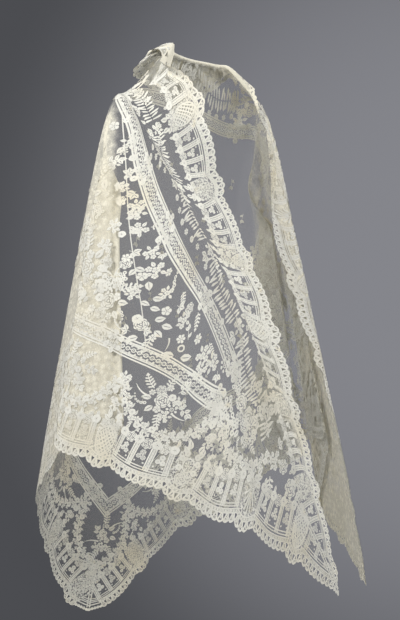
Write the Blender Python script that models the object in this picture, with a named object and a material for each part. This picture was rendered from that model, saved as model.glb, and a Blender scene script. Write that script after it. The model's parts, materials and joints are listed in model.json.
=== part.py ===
"""A triangular lace shawl, worn over the shoulders.

Metres, +Z up. The origin is the nape, where the cloth is held. The front is -Y and the near side
of the photograph is -X. The cloth is a right-angled triangle, laid out flat with s along its long
edge (0 at the nape, positive to the near tip) and t at right angles to it, down the back.
worn(s, t) gives the place of each point of the cloth when it is worn. Every piece is a wall on it.
"""

import math
from collections import namedtuple

import bmesh
import bpy
import numpy as np
from mathutils import Vector
from mathutils.geometry import delaunay_2d_cdt

# The flat cloth
HALF_EDGE = 1.55            # nape to tip, along the long edge
BORDER_WIDTH = 0.130
SEAM = 0.0003               # between neighbouring pieces
SEAM_SQUEEZE = 0.35         # where the worn cloth is gathered, a seam widens by up to this share
GROUND_THICK = 0.0012
BORDER_THICK = 0.0016

# The scalloped edge
REPEAT = 0.185              # one lobe and one medallion
LOBE_SHARE = 0.70           # of a repeat
SCALLOPS = 12               # small arcs in a repeat
LOBE_RISE = 0.010
MEDALLION_RISE = 0.013
SCALLOP_RISE = 0.004
EDGE_ROOM = 0.018           # the deepest notch lies this far inside the cloth's outline
CORNER_ROOM = 0.075         # the scallops stop this far from a point of the triangle
CORNER_ROUND = 0.052        # and the rounded point lies this far inside it
EYELETS = 6                 # open triangles in a repeat
EYELET_SIZE = 0.0095
EYELET_INSET = 0.0105       # from the scalloped edge to the middle of an eyelet
FOLD_CLEAR = 2.5            # degrees from a pleat's fold that stay free of eyelets
EDGE_CLEAR = 0.008          # loose points keep this far from the scallops where there are no eyelets

# Spacing of the wall's points
GROUND_STEP = 0.060
LINE_STEP = 0.036
RAY_STATIONS = (0.06, 0.12, 0.16, 0.20, 0.24, 0.28, 0.33)
RAY_STEP = 0.075            # past those
RAY_COUNT = 31
LAYER_LINES = 3             # lines across each layer of a pleat
LAYER_LINES_FROM = 1        # the lines across a layer start at this station of their ray
FOLD_LINES = (0.006, 0.014) # beside each fold of a pleat
FOLD_LINES_FROM = 4         # those lines start at this station
BESIDE_PLEATS = 4.0         # degrees past the last pleat that have lines like its own
CLEAR_OF_SEAM = 0.014       # points on those lines keep this far from the border's seam
COLLAR_STEP = 0.020
COLLAR_ROWS = (-0.065, -0.037, -0.014, 0.0, 0.014, 0.037)
CLEAR_OF_LINES = 0.012
MERGE = 0.0015              # points nearer than this are one

# Where the shoulders carry the cloth: the point of the cloth (s, t) and its place in space
Shoulder = namedtuple("Shoulder", "s t side x y z")
NEAR = Shoulder(s=0.20, t=0.225, side=-1, x=-0.185, y=0.030, z=-0.105)
FAR = Shoulder(s=0.23, t=0.140, side=1, x=0.195, y=0.000, z=-0.090)
SHOULDER_ROUND = 0.030      # how far the round of the shoulder carries the cloth out
ROUND_FROM = -135.0         # direction of that at the ray that points to the neck
ROUND_REACH = 0.050         # over this distance
CAP_REACH = 0.030           # the cloth turns downwards over this distance
TAKE_REACH = 0.200          # cloth taken up in small folds is gone by this distance
BODY_Y = -0.050             # the body's upright axis, in front of the nape

# How the cloth leaves the shoulder along each ray: the ray's angle in the cloth, its lean from
# straight down (degrees, forward and outward), the length taken up in small folds near the
# shoulder, and how much the lean eases with each metre past 0.6 m
Ray = namedtuple("Ray", "angle forward outward taken ease")
EASE_FROM = 0.6
NEAR_RAYS = (
    Ray(-180.0, 4.0, -99.0, 0.030, 0.0),
    Ray(-152.0, 19.0, -122.0, 0.010, 0.0),
    Ray(-133.0, 40.0, -127.0, -0.020, 0.0),
    Ray(-90.0, 50.0, -126.0, -0.020, 0.0),
    Ray(-77.0, 73.0, -86.0, 0.140, 0.0),
    Ray(-66.0, 80.0, -56.0, 0.120, 0.0),
    Ray(-48.0, 62.0, -26.0, 0.090, 0.0),
    Ray(-27.0, 36.5, -21.0, 0.080, 0.0),
    Ray(-19.0, 33.0, -16.5, 0.065, 0.05),
    Ray(-13.5, 30.5, -14.0, 0.080, 0.20),
    Ray(-9.5, 29.5, -13.5, 0.100, 0.27),
    Ray(0.0, 29.5, -4.0, 0.045, 0.35),
    Ray(7.5, 24.0, 1.5, 0.000, 0.25),
    Ray(19.5, 13.3, 9.0, 0.005, 0.0),
    Ray(32.0, 0.5, 11.3, 0.010, 0.0),
    Ray(60.0, 0.5, 11.3, 0.010, 0.0),
    Ray(70.0, -5.4, 7.7, 0.000, 0.05),
    Ray(80.0, -11.7, 3.2, 0.000, 0.12),
    Ray(90.0, -17.2, -3.0, 0.000, 0.12),
    Ray(120.0, -16.7, -27.7, 0.000, 0.05),
    Ray(150.0, -14.0, -58.0, 0.020, 0.0),
    Ray(180.0, 4.0, -99.0, 0.030, 0.0),
)
FAR_RAYS = (
    Ray(-180.0, -6.0, -99.0, 0.030, 0.0),
    Ray(-165.0, 3.0, -110.0, 0.010, 0.0),
    Ray(-148.0, 17.0, -117.0, -0.010, 0.0),
    Ray(-90.0, 57.0, -72.0, 0.087, 0.0),
    Ray(-60.0, 47.0, -41.0, 0.047, 0.0),
    Ray(-33.7, 36.5, -24.0, 0.020, 0.0),
    Ray(-20.0, 31.5, -26.0, 0.000, 0.0),
    Ray(-14.0, 28.0, -18.0, 0.020, 0.0),
    Ray(-9.0, 20.0, -3.0, 0.070, 0.0),
    Ray(-6.0, 12.0, 4.8, 0.100, 0.0),
    Ray(0.0, 7.0, 8.0, 0.050, 0.0),
    Ray(10.0, 1.2, 10.0, 0.000, 0.0),
    Ray(36.0, 1.2, 10.0, 0.000, 0.0),
    Ray(50.0, -9.0, 7.5, 0.000, 0.0),
    Ray(76.0, -9.0, 7.5, 0.000, 0.0),
    Ray(90.0, -18.5, 1.0, 0.000, 0.0),
    Ray(120.0, -16.0, -27.0, 0.000, 0.0),
    Ray(150.0, -14.0, -58.0, 0.020, 0.0),
    Ray(180.0, -6.0, -99.0, 0.030, 0.0),
)

# Knife pleats: the angles of the outer fold, the inner fold and the outer fold below it
Pleat = namedtuple("Pleat", "outer inner under")
NEAR_PLEATS = (Pleat(32.0, 46.0, 60.0),)
FAR_PLEATS = (Pleat(10.0, 23.0, 36.0), Pleat(50.0, 63.0, 76.0))
PLEAT_GAP = 0.010           # between the layers of a pleat
PLEAT_TURN = 0.012          # length of cloth to each side of a fold over which it turns
PLEAT_FADE = 14.0           # degrees over which the layers' depth is lost again
PLEAT_DIP = 0.024           # the valley in which a pleat starts
PLEAT_START = 0.13          # from the shoulder to where a pleat starts
PLEAT_OPEN = 0.20           # and the distance over which it opens
PLEAT_DEEP = 0.22           # from the shoulder to where its layers have their full gap

# The cloth is cut into stretches along rays at these angles: beside the neck, then down each side
NEAR_CUTS = (-62.0, 18.0, 64.0)
FAR_CUTS = (-62.0, 36.5, 80.0)

# Soft folds down from the shoulders: angle, half width in degrees, height at one metre
Fold = namedtuple("Fold", "angle spread height")
NEAR_FOLDS = (
    Fold(-2.0, 3.0, 0.010),
    Fold(6.0, 3.0, -0.012),
    Fold(16.0, 4.0, 0.016),
    Fold(78.0, 5.0, 0.014),
    Fold(98.0, 6.0, 0.034),
    Fold(108.0, 5.0, -0.020),
)
FAR_FOLDS = (
    Fold(43.0, 3.0, 0.020),
    Fold(92.0, 6.0, 0.030),
    Fold(102.0, 5.0, -0.020),
)
FOLD_START = 0.5            # a soft fold reaches its full height past this distance

# The edge turned over at the neck: place along the long edge, width of the turned part, and how
# far it is turned (degrees: 90 stands out from the neck, 180 lies on the cloth below)
Turned = namedtuple("Turned", "s width turn")
COLLAR = (
    Turned(-0.31, 0.010, 0.0),
    Turned(-0.27, 0.014, 90.0),
    Turned(-0.23, 0.026, 160.0),
    Turned(-0.17, 0.055, 172.0),
    Turned(-0.11, 0.085, 172.0),
    Turned(0.00, 0.110, 172.0),
    Turned(0.12, 0.105, 172.0),
    Turned(0.17, 0.085, 168.0),
    Turned(0.21, 0.055, 150.0),
    Turned(0.25, 0.026, 90.0),
    Turned(0.32, 0.012, 0.0),
)
COLLAR_ROLL = 0.012         # from the standing layer to the turned layer
COLLAR_BEND = 0.012         # length of cloth over which it turns
COLLAR_CREASE = 0.008

CLOTH_RGB = (0.86, 0.83, 0.72)
BORDER_RGB = (0.88, 0.86, 0.78)


def smooth_step(x):
    """0 to 1, level at both ends."""
    x = np.clip(x, 0.0, 1.0)
    return x * x * (3.0 - 2.0 * x)


def smooth_curve(x, rows, name, value):
    """A smooth curve through a table's rows that never overshoots them."""
    xp = np.array([getattr(row, name) for row in rows])
    fp = np.array([getattr(row, value) for row in rows])
    width = np.diff(xp)
    slope = np.diff(fp) / width
    tangent = np.zeros_like(fp)
    tangent[0] = slope[0]
    tangent[-1] = slope[-1]
    for k in range(1, len(xp) - 1):
        if slope[k - 1] * slope[k] > 0.0:
            before = 2.0 * width[k] + width[k - 1]
            after = width[k] + 2.0 * width[k - 1]
            tangent[k] = (before + after) / (before / slope[k - 1] + after / slope[k])
    x = np.clip(x, xp[0], xp[-1])
    k = np.clip(np.searchsorted(xp, x, side="right") - 1, 0, len(xp) - 2)
    u = (x - xp[k]) / width[k]
    start = (1.0 + 2.0 * u) * (1.0 - u) ** 2 * fp[k] + u * (1.0 - u) ** 2 * width[k] * tangent[k]
    end = u * u * (3.0 - 2.0 * u) * fp[k + 1] + u * u * (u - 1.0) * width[k] * tangent[k + 1]
    return start + end


def soft_ramp(degrees, turn):
    """Zero below zero and the value itself above it, rounded over the turn of a pleat."""
    near = (degrees + turn) ** 2 / (4.0 * turn)
    return np.where(np.abs(degrees) < turn, near, np.maximum(degrees, 0.0))


def from_body_axis(place):
    """Level unit vectors from the body's axis to each place."""
    level = place - np.array((0.0, BODY_Y, 0.0))
    level[..., 2] = 0.0
    return level / np.maximum(np.linalg.norm(level, axis=-1, keepdims=True), 1e-6)


def hang_from(shoulder, rays, pleats, folds, s, t):
    """The cloth as it hangs from one shoulder; s counts towards that shoulder's tip."""
    distance = np.hypot(s - shoulder.s, t - shoulder.t)
    angle = np.degrees(np.arctan2(t - shoulder.t, s - shoulder.s))

    turn = np.degrees(PLEAT_TURN / np.maximum(distance, PLEAT_START))
    turned = angle.copy()
    hidden = np.zeros_like(angle)
    for pleat in pleats:
        zigzag = angle - 2.0 * soft_ramp(angle - pleat.outer, turn)
        zigzag += 2.0 * soft_ramp(angle - pleat.inner, turn)
        in_pleat = (angle > pleat.outer - turn) & (angle < pleat.under)
        turned = np.where(in_pleat, zigzag, turned)
        hidden += np.where(angle >= pleat.under, pleat.under - pleat.outer, 0.0)
    taken_in = sum(pleat.under - pleat.outer for pleat in pleats)
    spread = 360.0 * (turned - hidden + 180.0) / (360.0 - taken_in)
    opened = smooth_step((distance - PLEAT_START) / PLEAT_OPEN)
    inset = np.zeros_like(angle)
    for pleat in pleats:
        in_pleat = (angle > pleat.outer - turn) & (angle < pleat.under)
        at = np.where(in_pleat, angle, turned)
        first = smooth_step((at - pleat.outer) / (2.0 * turn) + 0.5)
        second = smooth_step((at - pleat.inner) / (2.0 * turn) + 0.5)
        valley = smooth_step((at - pleat.outer) / (pleat.inner - pleat.outer))
        dip = PLEAT_DIP * 4.0 * opened * (1.0 - opened)
        lost = smooth_step((at - pleat.under) / PLEAT_FADE)
        inset += PLEAT_GAP * (first + second - 2.0 * lost) + dip * (valley - lost)

    def along(value):
        flat = smooth_curve(angle, rays, "angle", value)
        return flat + (smooth_curve(turned, rays, "angle", value) - flat) * opened

    forward, outward = along("forward"), along("outward")
    length = distance - along("taken") * (1.0 - np.exp(-distance / TAKE_REACH))
    lean = np.maximum(np.hypot(forward, outward), 1e-6)
    tilt = np.radians(lean * (1.0 - along("ease") * (distance - EASE_FROM)))
    reach = length * np.sin(tilt)

    front_side = smooth_step((angle + 100.0) / 60.0) * (1.0 - smooth_step((angle - 100.0) / 60.0))
    cap = SHOULDER_ROUND * (1.0 - np.exp(-distance / ROUND_REACH)) * (0.35 + 0.65 * front_side)
    over = np.radians(ROUND_FROM + (angle + 180.0) * (1.0 - opened) + spread * opened)
    out = reach * outward / lean + cap * np.sin(over)
    ahead = reach * forward / lean + cap * np.cos(over)
    down = length * np.cos(tilt) * (1.0 - np.exp(-distance / CAP_REACH))
    place = np.stack([shoulder.x + shoulder.side * out, shoulder.y - ahead, shoulder.z - down], -1)

    push = np.zeros_like(angle)
    nested = angle + (turned - angle) * opened
    for fold in folds:
        push += fold.height * np.exp(-(((nested - fold.angle) / fold.spread) ** 2))
    push *= distance * smooth_step(distance / FOLD_START)
    push -= inset * smooth_step(distance / PLEAT_DEEP)
    return place + from_body_axis(place) * push[..., None]


def standing(s, t):
    """The cloth before its edge is turned over at the neck."""
    near = hang_from(NEAR, NEAR_RAYS, NEAR_PLEATS, NEAR_FOLDS, s, t)
    far = hang_from(FAR, FAR_RAYS, FAR_PLEATS, FAR_FOLDS, -s, t)
    share = smooth_step((s + FAR.s) / (NEAR.s + FAR.s))[..., None]
    return far * (1.0 - share) + near * share


def normals_of(surface, s, t, step=0.0015):
    """Unit normals of a surface over the flat cloth, pointing away from the body."""
    along = surface(s + step, t) - surface(s - step, t)
    down = surface(s, t + step) - surface(s, t - step)
    normal = np.cross(down, along)
    return normal / np.maximum(np.linalg.norm(normal, axis=-1, keepdims=True), 1e-9)


def worn(s, t):
    """The place in space of the cloth's points (s, t)."""
    s = np.asarray(s, float)
    t = np.asarray(t, float)
    above = smooth_curve(s, COLLAR, "s", "width") - t
    turn = np.radians(smooth_curve(s, COLLAR, "s", "turn"))
    bent = 0.5 * (above + np.hypot(above, COLLAR_CREASE))
    lifted = 0.5 * (1.0 + above / np.hypot(above, COLLAR_BEND))
    below = t + bent * (1.0 - np.cos(turn))
    out = bent * np.sin(turn) + COLLAR_ROLL * 0.5 * (1.0 - np.cos(turn)) * lifted
    return standing(s, below) + normals_of(standing, s, below) * out[..., None]


# The three edges of the flat triangle, each with its start, its direction and its inward normal
Edge = namedtuple("Edge", "name start along inward length")
ROOT_HALF = math.sqrt(0.5)
EDGES = (
    Edge("front", (-HALF_EDGE, 0.0), (1.0, 0.0), (0.0, 1.0), 2.0 * HALF_EDGE),
    Edge("near", (HALF_EDGE, 0.0), (-ROOT_HALF, ROOT_HALF), (-ROOT_HALF, -ROOT_HALF), HALF_EDGE / ROOT_HALF),
    Edge("far", (0.0, HALF_EDGE), (-ROOT_HALF, -ROOT_HALF), (ROOT_HALF, -ROOT_HALF), HALF_EDGE / ROOT_HALF),
)
CORNERS = ((HALF_EDGE, 0.0), (0.0, HALF_EDGE), (-HALF_EDGE, 0.0))


def edge_point(edge, along, inside):
    """A flat point that lies so far along an edge and so far inside it."""
    return (
        edge.start[0] + edge.along[0] * along + edge.inward[0] * inside,
        edge.start[1] + edge.along[1] * along + edge.inward[1] * inside,
    )


def edge_distances(points):
    """How far each flat point lies inside each of the three edges."""
    return np.stack([(points - np.array(e.start)) @ np.array(e.inward) for e in EDGES], -1)


def scalloped_inset(share):
    """How far the edge lies inside the cloth's outline at a share of one repeat."""
    if share < LOBE_SHARE:
        return EDGE_ROOM - LOBE_RISE * math.sin(math.pi * share / LOBE_SHARE)
    return EDGE_ROOM - MEDALLION_RISE * math.sin(math.pi * (share - LOBE_SHARE) / (1.0 - LOBE_SHARE))


def repeats_on(edge):
    """The number of repeats on an edge and their length."""
    room = edge.length - 2.0 * CORNER_ROOM
    count = round(room / REPEAT)
    return count, room / count


def corner_bisector(edge):
    """The unit direction into the triangle from the corner where an edge starts."""
    before = EDGES[EDGES.index(edge) - 1]
    direction = np.array(edge.along) - np.array(before.along)
    return direction / np.linalg.norm(direction)


def scalloped_outline():
    """The flat outline: small scallops on lobes and medallions, plain at the points."""
    outline = []
    for edge in EDGES:
        corner = np.array(edge.start)
        outline.append(tuple(corner + CORNER_ROUND * corner_bisector(edge)))
        count, length = repeats_on(edge)
        for k in range(2 * SCALLOPS * count + 1):
            share = (k / (2.0 * SCALLOPS)) % 1.0
            tooth = SCALLOP_RISE if k % 2 else 0.0
            along = CORNER_ROOM + length * k / (2.0 * SCALLOPS)
            outline.append(edge_point(edge, along, scalloped_inset(share) - tooth))
    return outline


def in_hidden_layer(point):
    """Whether a flat point lies in the hidden layers of a pleat or on its folds."""
    for shoulder, pleats in ((NEAR, NEAR_PLEATS), (FAR, FAR_PLEATS)):
        across = -shoulder.side * point[0] - shoulder.s
        angle = math.degrees(math.atan2(point[1] - shoulder.t, across))
        for pleat in pleats:
            if across > 0.0 and pleat.outer - FOLD_CLEAR < angle < pleat.under:
                return True
    return False


def eyelets():
    """The open triangles of the edging that show, the largest gaps of each repeat."""
    result = []
    for edge in EDGES:
        count, length = repeats_on(edge)
        for repeat in range(count):
            for k in range(EYELETS):
                share = (math.floor((k + 0.5) * SCALLOPS / EYELETS) + 0.0) / SCALLOPS
                along = CORNER_ROOM + length * (repeat + share)
                inside = scalloped_inset(share) + EYELET_INSET
                in_collar = edge.name == "front" and COLLAR[0].s < along - HALF_EDGE < COLLAR[-1].s
                if in_collar or in_hidden_layer(edge_point(edge, along, inside)):
                    continue
                half = 0.5 * EYELET_SIZE
                result.append((
                    edge_point(edge, along, inside - half),
                    edge_point(edge, along - half, inside + half),
                    edge_point(edge, along + half, inside + half),
                ))
    return result


def inner_triangle(inside):
    """The corners of the triangle that lies so far inside the cloth's outline."""
    tip = HALF_EDGE - inside * (1.0 + math.sqrt(2.0))
    return ((tip, inside), (0.0, HALF_EDGE - inside * math.sqrt(2.0)), (-tip, inside))


def spaced(start, end, step):
    """Evenly spaced points from start to end, both included."""
    count = max(1, round(math.dist(start, end) / step))
    return [tuple(np.array(start) + (np.array(end) - np.array(start)) * k / count) for k in range(count + 1)]


def ray_points(shoulder, angle, first=0, count=RAY_COUNT, beside=0.0):
    """Points at set stations along a ray in the flat cloth from a shoulder, or beside that ray."""
    past = RAY_STATIONS[-1] + RAY_STEP * np.arange(1, RAY_COUNT - len(RAY_STATIONS) + 1)
    away = np.concatenate([RAY_STATIONS, past])[first:count]
    level, down = math.cos(math.radians(angle)), math.sin(math.radians(angle))
    s = shoulder.s + away * level - beside * down
    t = shoulder.t + away * down + beside * level
    return list(zip(-shoulder.side * s, t))


def pleat_zone(pleats):
    """The angles from the first layer under the first pleat to just past the last pleat."""
    return 2.0 * pleats[0].outer - pleats[0].inner, pleats[-1].under + BESIDE_PLEATS


def in_pleat_zone(points):
    """Which flat points lie where the pleats' own lines carry the cloth."""
    result = np.zeros(len(points), bool)
    for shoulder, pleats in ((NEAR, NEAR_PLEATS), (FAR, FAR_PLEATS)):
        across = -shoulder.side * points[:, 0] - shoulder.s
        angle = np.degrees(np.arctan2(points[:, 1] - shoulder.t, across))
        first, last = pleat_zone(pleats)
        result |= (across > 0.0) & (angle > first) & (angle < last)
    return result


def pleat_lines(shoulder, pleats):
    """Rays across the layers of the pleats, at the same places in each layer."""
    lines = []
    for pleat in pleats:
        depth = pleat.inner - pleat.outer
        angles = [pleat.outer - depth]
        for layer_start in (pleat.outer - depth, pleat.outer, pleat.inner):
            angles.extend(layer_start + depth * k / LAYER_LINES for k in range(1, LAYER_LINES + 1))
        for angle in angles:
            lines.append(ray_points(shoulder, angle, LAYER_LINES_FROM))
        for angle in (pleat.outer, pleat.inner):
            for beside in FOLD_LINES:
                lines.append(ray_points(shoulder, angle, FOLD_LINES_FROM, beside=-beside))
                lines.append(ray_points(shoulder, angle, FOLD_LINES_FROM, beside=beside))
    return lines


def flat_lines():
    """The lines of the flat cloth that its faces follow."""
    border = inner_triangle(BORDER_WIDTH)
    lines = []
    for k in range(3):
        seam = spaced(border[k], border[(k + 1) % 3], LINE_STEP)
        carried = in_pleat_zone(np.array(seam)) & (k < 2)
        carried[[0, -1]] = False
        lines.append([point for point, free in zip(seam, ~carried) if free])
        lines.append(spaced(CORNERS[k], border[k], LINE_STEP))
    for shoulder, pleats, cuts in ((NEAR, NEAR_PLEATS, NEAR_CUTS), (FAR, FAR_PLEATS, FAR_CUTS)):
        middle = (-shoulder.side * shoulder.s, shoulder.t)
        rays = pleat_lines(shoulder, pleats)
        rays.append([middle] + ray_points(shoulder, cuts[0], 0, 8))
        rays.extend([middle] + ray_points(shoulder, angle) for angle in cuts[1:])
        for ray in rays:
            inside = edge_distances(np.array(ray)).min(-1)
            clear = np.abs(inside - BORDER_WIDTH) > CLEAR_OF_SEAM
            lines.append([point for point, kept in zip(ray, clear) if kept])
    return lines


def loose_points(lines):
    """Points over the flat cloth that keep clear of its lines and its pleats."""
    points = []
    rows = math.ceil(HALF_EDGE / GROUND_STEP)
    for row in range(1, rows):
        shift = 0.5 * GROUND_STEP * (row % 2)
        points.extend((k * GROUND_STEP + shift, row * GROUND_STEP) for k in range(-2 * rows, 2 * rows))
    points = np.array(points)
    points = points[~in_pleat_zone(points)]
    for shoulder in (NEAR, FAR):
        turn = 2.0 * math.pi * (np.arange(8) + 0.5) / 8
        s = -shoulder.side * (shoulder.s + 0.5 * RAY_STATIONS[0] * np.cos(turn))
        points = np.vstack([points, np.stack([s, shoulder.t + 0.5 * RAY_STATIONS[0] * np.sin(turn)], -1)])
    points = points[edge_distances(points).min(-1) > EDGE_ROOM + EYELET_INSET + EYELET_SIZE]
    s = np.arange(COLLAR[0].s, COLLAR[-1].s, COLLAR_STEP)
    width = smooth_curve(s, COLLAR, "s", "width")
    for row in COLLAR_ROWS:
        points = np.vstack([np.stack([s, width + row], -1), points])
    points = points[edge_distances(points).min(-1) > EDGE_ROOM + EDGE_CLEAR]
    on_lines = np.array([point for line in lines for point in line])
    kept = []
    for point in points:
        others = np.vstack([on_lines, kept]) if kept else on_lines
        if np.hypot(*(others - point).T).min() > CLEAR_OF_LINES:
            kept.append(tuple(point))
    return kept


def inside_outline(points, outline):
    """Which points lie inside a closed outline."""
    result = np.zeros(len(points), bool)
    outline = np.array(outline)
    for a, b in zip(outline, np.roll(outline, -1, 0)):
        crosses = (a[1] > points[:, 1]) != (b[1] > points[:, 1])
        if crosses.any():
            where = a[0] + (points[:, 1] - a[1]) * (b[0] - a[0]) / (b[1] - a[1] + 1e-30)
            result ^= crosses & (points[:, 0] < where)
    return result


def flat_mesh():
    """The whole flat cloth as triangles: its points and its faces."""
    outline = scalloped_outline()
    holes = eyelets()
    lines = flat_lines()
    points = []
    edges = []

    def add_line(line, closed):
        first = len(points)
        points.extend(line)
        edges.extend((first + k, first + k + 1) for k in range(len(line) - 1))
        if closed:
            edges.append((first + len(line) - 1, first))

    add_line(outline, True)
    for hole in holes:
        add_line(hole, True)
    for line in lines:
        add_line(line, False)
    points.extend(loose_points(lines))
    vectors = [Vector(point) for point in points]
    found = delaunay_2d_cdt(vectors, edges, [], 0, MERGE)
    flat = np.array([tuple(v) for v in found[0]])
    faces = np.array([tuple(face) for face in found[2]])
    middle = flat[faces].mean(1)
    keep = inside_outline(middle, outline)
    for hole in holes:
        near = np.hypot(*(middle - np.mean(hole, 0)).T) < 2.0 * EYELET_SIZE
        keep[near] &= ~inside_outline(middle[near], hole)
    return flat, faces[keep]


def stretch_names(middle):
    """Which stretch of the worn shawl each flat point belongs to."""
    near_side = middle[:, 0] > 0.5 * (NEAR.s - FAR.s)
    near_angle = np.degrees(np.arctan2(middle[:, 1] - NEAR.t, middle[:, 0] - NEAR.s))
    far_angle = np.degrees(np.arctan2(middle[:, 1] - FAR.t, -middle[:, 0] - FAR.s))
    names = np.full(len(middle), "back", dtype=object)
    for here, angle, cuts, front, side in (
        (near_side, near_angle, NEAR_CUTS, "near_front", "near_side"),
        (~near_side, far_angle, FAR_CUTS, "far_front", "far_side"),
    ):
        names[here & (angle > cuts[0]) & (angle < cuts[2])] = side
        names[here & (angle > cuts[0]) & (angle < cuts[1])] = front
    return names


def shrink(flat, faces, gap):
    """Draws the free edge of a flat piece in, by half a seam as it is worn."""
    ends = {}
    for face in faces:
        for k in range(3):
            ends.setdefault(frozenset((face[k], face[(k + 1) % 3])), []).append((face[k], face[(k + 1) % 3]))
    free = [pair[0] for pair in ends.values() if len(pair) == 1]
    normals = {}
    for a, b in free:
        along = (flat[b] - flat[a]) / max(np.linalg.norm(flat[b] - flat[a]), 1e-9)
        inward = np.array((-along[1], along[0]))
        normals.setdefault(a, []).append(inward)
        normals.setdefault(b, []).append(inward)
    rim = np.array(list(normals))
    inward = np.array([np.mean(sides, 0) for sides in normals.values()])
    inward /= np.maximum((inward * inward).sum(-1, keepdims=True), 0.25)
    tried = flat[rim] + inward * gap
    shown = np.linalg.norm(worn(*tried.T) - worn(*flat[rim].T), axis=-1) / gap
    moved = flat.copy()
    moved[rim] += inward * 0.5 * gap / np.clip(shown, SEAM_SQUEEZE, 1.0)[:, None]
    return moved, free


def outward(flat, faces):
    """Unit normals of the worn cloth at its points, away from the body, by the faces round each."""
    place = worn(*flat.T)
    total = np.zeros((len(flat), 3))
    for k in range(3):
        here, after, before = faces[:, k], faces[:, (k + 1) % 3], faces[:, (k + 2) % 3]
        one = place[before] - place[here]
        other = place[after] - place[here]
        one /= np.linalg.norm(one, axis=-1, keepdims=True)
        other /= np.linalg.norm(other, axis=-1, keepdims=True)
        square = np.cross(one, other)
        size = np.linalg.norm(square, axis=-1, keepdims=True)
        corner = np.arctan2(size[:, 0], (one * other).sum(-1))
        np.add.at(total, here, square / np.maximum(size, 1e-9) * corner[:, None])
    return total / np.maximum(np.linalg.norm(total, axis=-1, keepdims=True), 1e-9)


def wall(name, flat, faces, normals, low, high, material, collection):
    """A closed wall over some faces of the cloth, between two heights over its middle."""
    moved, free = shrink(flat, faces, SEAM)
    used = np.unique(faces)
    index = {point: k for k, point in enumerate(used)}
    s, t = moved[used, 0], moved[used, 1]
    place = worn(s, t)
    normal = normals[used]
    mesh = bmesh.new()
    upper = [mesh.verts.new(p) for p in place + normal * high]
    lower = [mesh.verts.new(p) for p in place + normal * low]
    for a, b, c in faces:
        mesh.faces.new((upper[index[c]], upper[index[b]], upper[index[a]]))
        mesh.faces.new((lower[index[a]], lower[index[b]], lower[index[c]]))
    for a, b in free:
        first, second = index[a], index[b]
        if a < b:
            mesh.faces.new((upper[first], upper[second], lower[second]))
            mesh.faces.new((upper[first], lower[second], lower[first]))
        else:
            mesh.faces.new((upper[first], upper[second], lower[first]))
            mesh.faces.new((upper[second], lower[second], lower[first]))
    data = bpy.data.meshes.new(name)
    mesh.to_mesh(data)
    mesh.free()
    data.materials.append(material)
    data.shade_smooth()
    data.set_sharp_from_angle(angle=math.radians(50.0))
    piece = bpy.data.objects.new(name, data)
    collection.objects.link(piece)
    return piece


def cloth_material(name, rgb, roughness):
    material = bpy.data.materials.new(name)
    material.use_nodes = True
    shader = material.node_tree.nodes["Principled BSDF"]
    shader.inputs["Base Color"].default_value = (*rgb, 1.0)
    shader.inputs["Roughness"].default_value = roughness
    shader.inputs["Metallic"].default_value = 0.0
    return material


def build():
    for old in list(bpy.data.objects):
        bpy.data.objects.remove(old)
    collection = bpy.data.collections.new("lace_shawl")
    bpy.context.scene.collection.children.link(collection)

    flat, faces = flat_mesh()
    normals = outward(flat, faces)
    middle = flat[faces].mean(1)
    stretch = stretch_names(middle)
    distance = edge_distances(middle)
    inside = distance.min(-1)
    side = np.array([edge.name for edge in EDGES])[distance.argmin(-1)]
    in_border = inside < BORDER_WIDTH

    for place in ("near_front", "near_side", "back", "far_side", "far_front"):
        here = stretch == place
        material = cloth_material("net_" + place, CLOTH_RGB, 0.85)
        half = 0.5 * GROUND_THICK
        wall("net_" + place, flat, faces[here & ~in_border], normals, -half, half, material, collection)
        for edge in EDGES:
            part = here & (side == edge.name)
            label = place + "_" + edge.name + "_edge"
            if (part & in_border).any():
                material = cloth_material("border_" + label, BORDER_RGB, 0.8)
                half = 0.5 * BORDER_THICK
                wall("border_" + label, flat, faces[part & in_border], normals, -half, half, material, collection)


build()
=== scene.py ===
import json
import math
from collections import namedtuple

import bpy
import numpy as np
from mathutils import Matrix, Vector
from mathutils.geometry import delaunay_2d_cdt

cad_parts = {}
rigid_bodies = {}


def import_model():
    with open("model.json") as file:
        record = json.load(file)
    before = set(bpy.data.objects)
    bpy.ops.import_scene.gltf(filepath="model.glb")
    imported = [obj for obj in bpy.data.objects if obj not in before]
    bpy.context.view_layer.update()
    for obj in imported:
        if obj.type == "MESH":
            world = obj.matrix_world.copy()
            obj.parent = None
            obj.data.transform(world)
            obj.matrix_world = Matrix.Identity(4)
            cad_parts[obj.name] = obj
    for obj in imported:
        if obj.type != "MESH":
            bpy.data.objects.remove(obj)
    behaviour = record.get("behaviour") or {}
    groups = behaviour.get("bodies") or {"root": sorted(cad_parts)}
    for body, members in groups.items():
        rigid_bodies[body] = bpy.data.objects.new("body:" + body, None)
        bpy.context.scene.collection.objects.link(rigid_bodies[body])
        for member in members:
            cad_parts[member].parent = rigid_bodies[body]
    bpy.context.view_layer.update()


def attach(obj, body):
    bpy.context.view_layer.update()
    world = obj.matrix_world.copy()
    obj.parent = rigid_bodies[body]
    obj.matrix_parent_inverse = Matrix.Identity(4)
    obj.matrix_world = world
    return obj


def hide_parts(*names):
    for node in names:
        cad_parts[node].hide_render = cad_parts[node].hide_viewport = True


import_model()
RANDOM = np.random.default_rng(18)

# The flat cloth and how it is worn, with the same values as the solids have
HALF_EDGE = 1.55
REPEAT = 0.185
LOBE_SHARE = 0.70
SCALLOPS = 12
LOBE_RISE = 0.010
MEDALLION_RISE = 0.013
SCALLOP_RISE = 0.004
EDGE_ROOM = 0.018
CORNER_ROOM = 0.075
CORNER_ROUND = 0.052
EYELET_SIZE = 0.0095
EYELET_INSET = 0.0105

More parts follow.
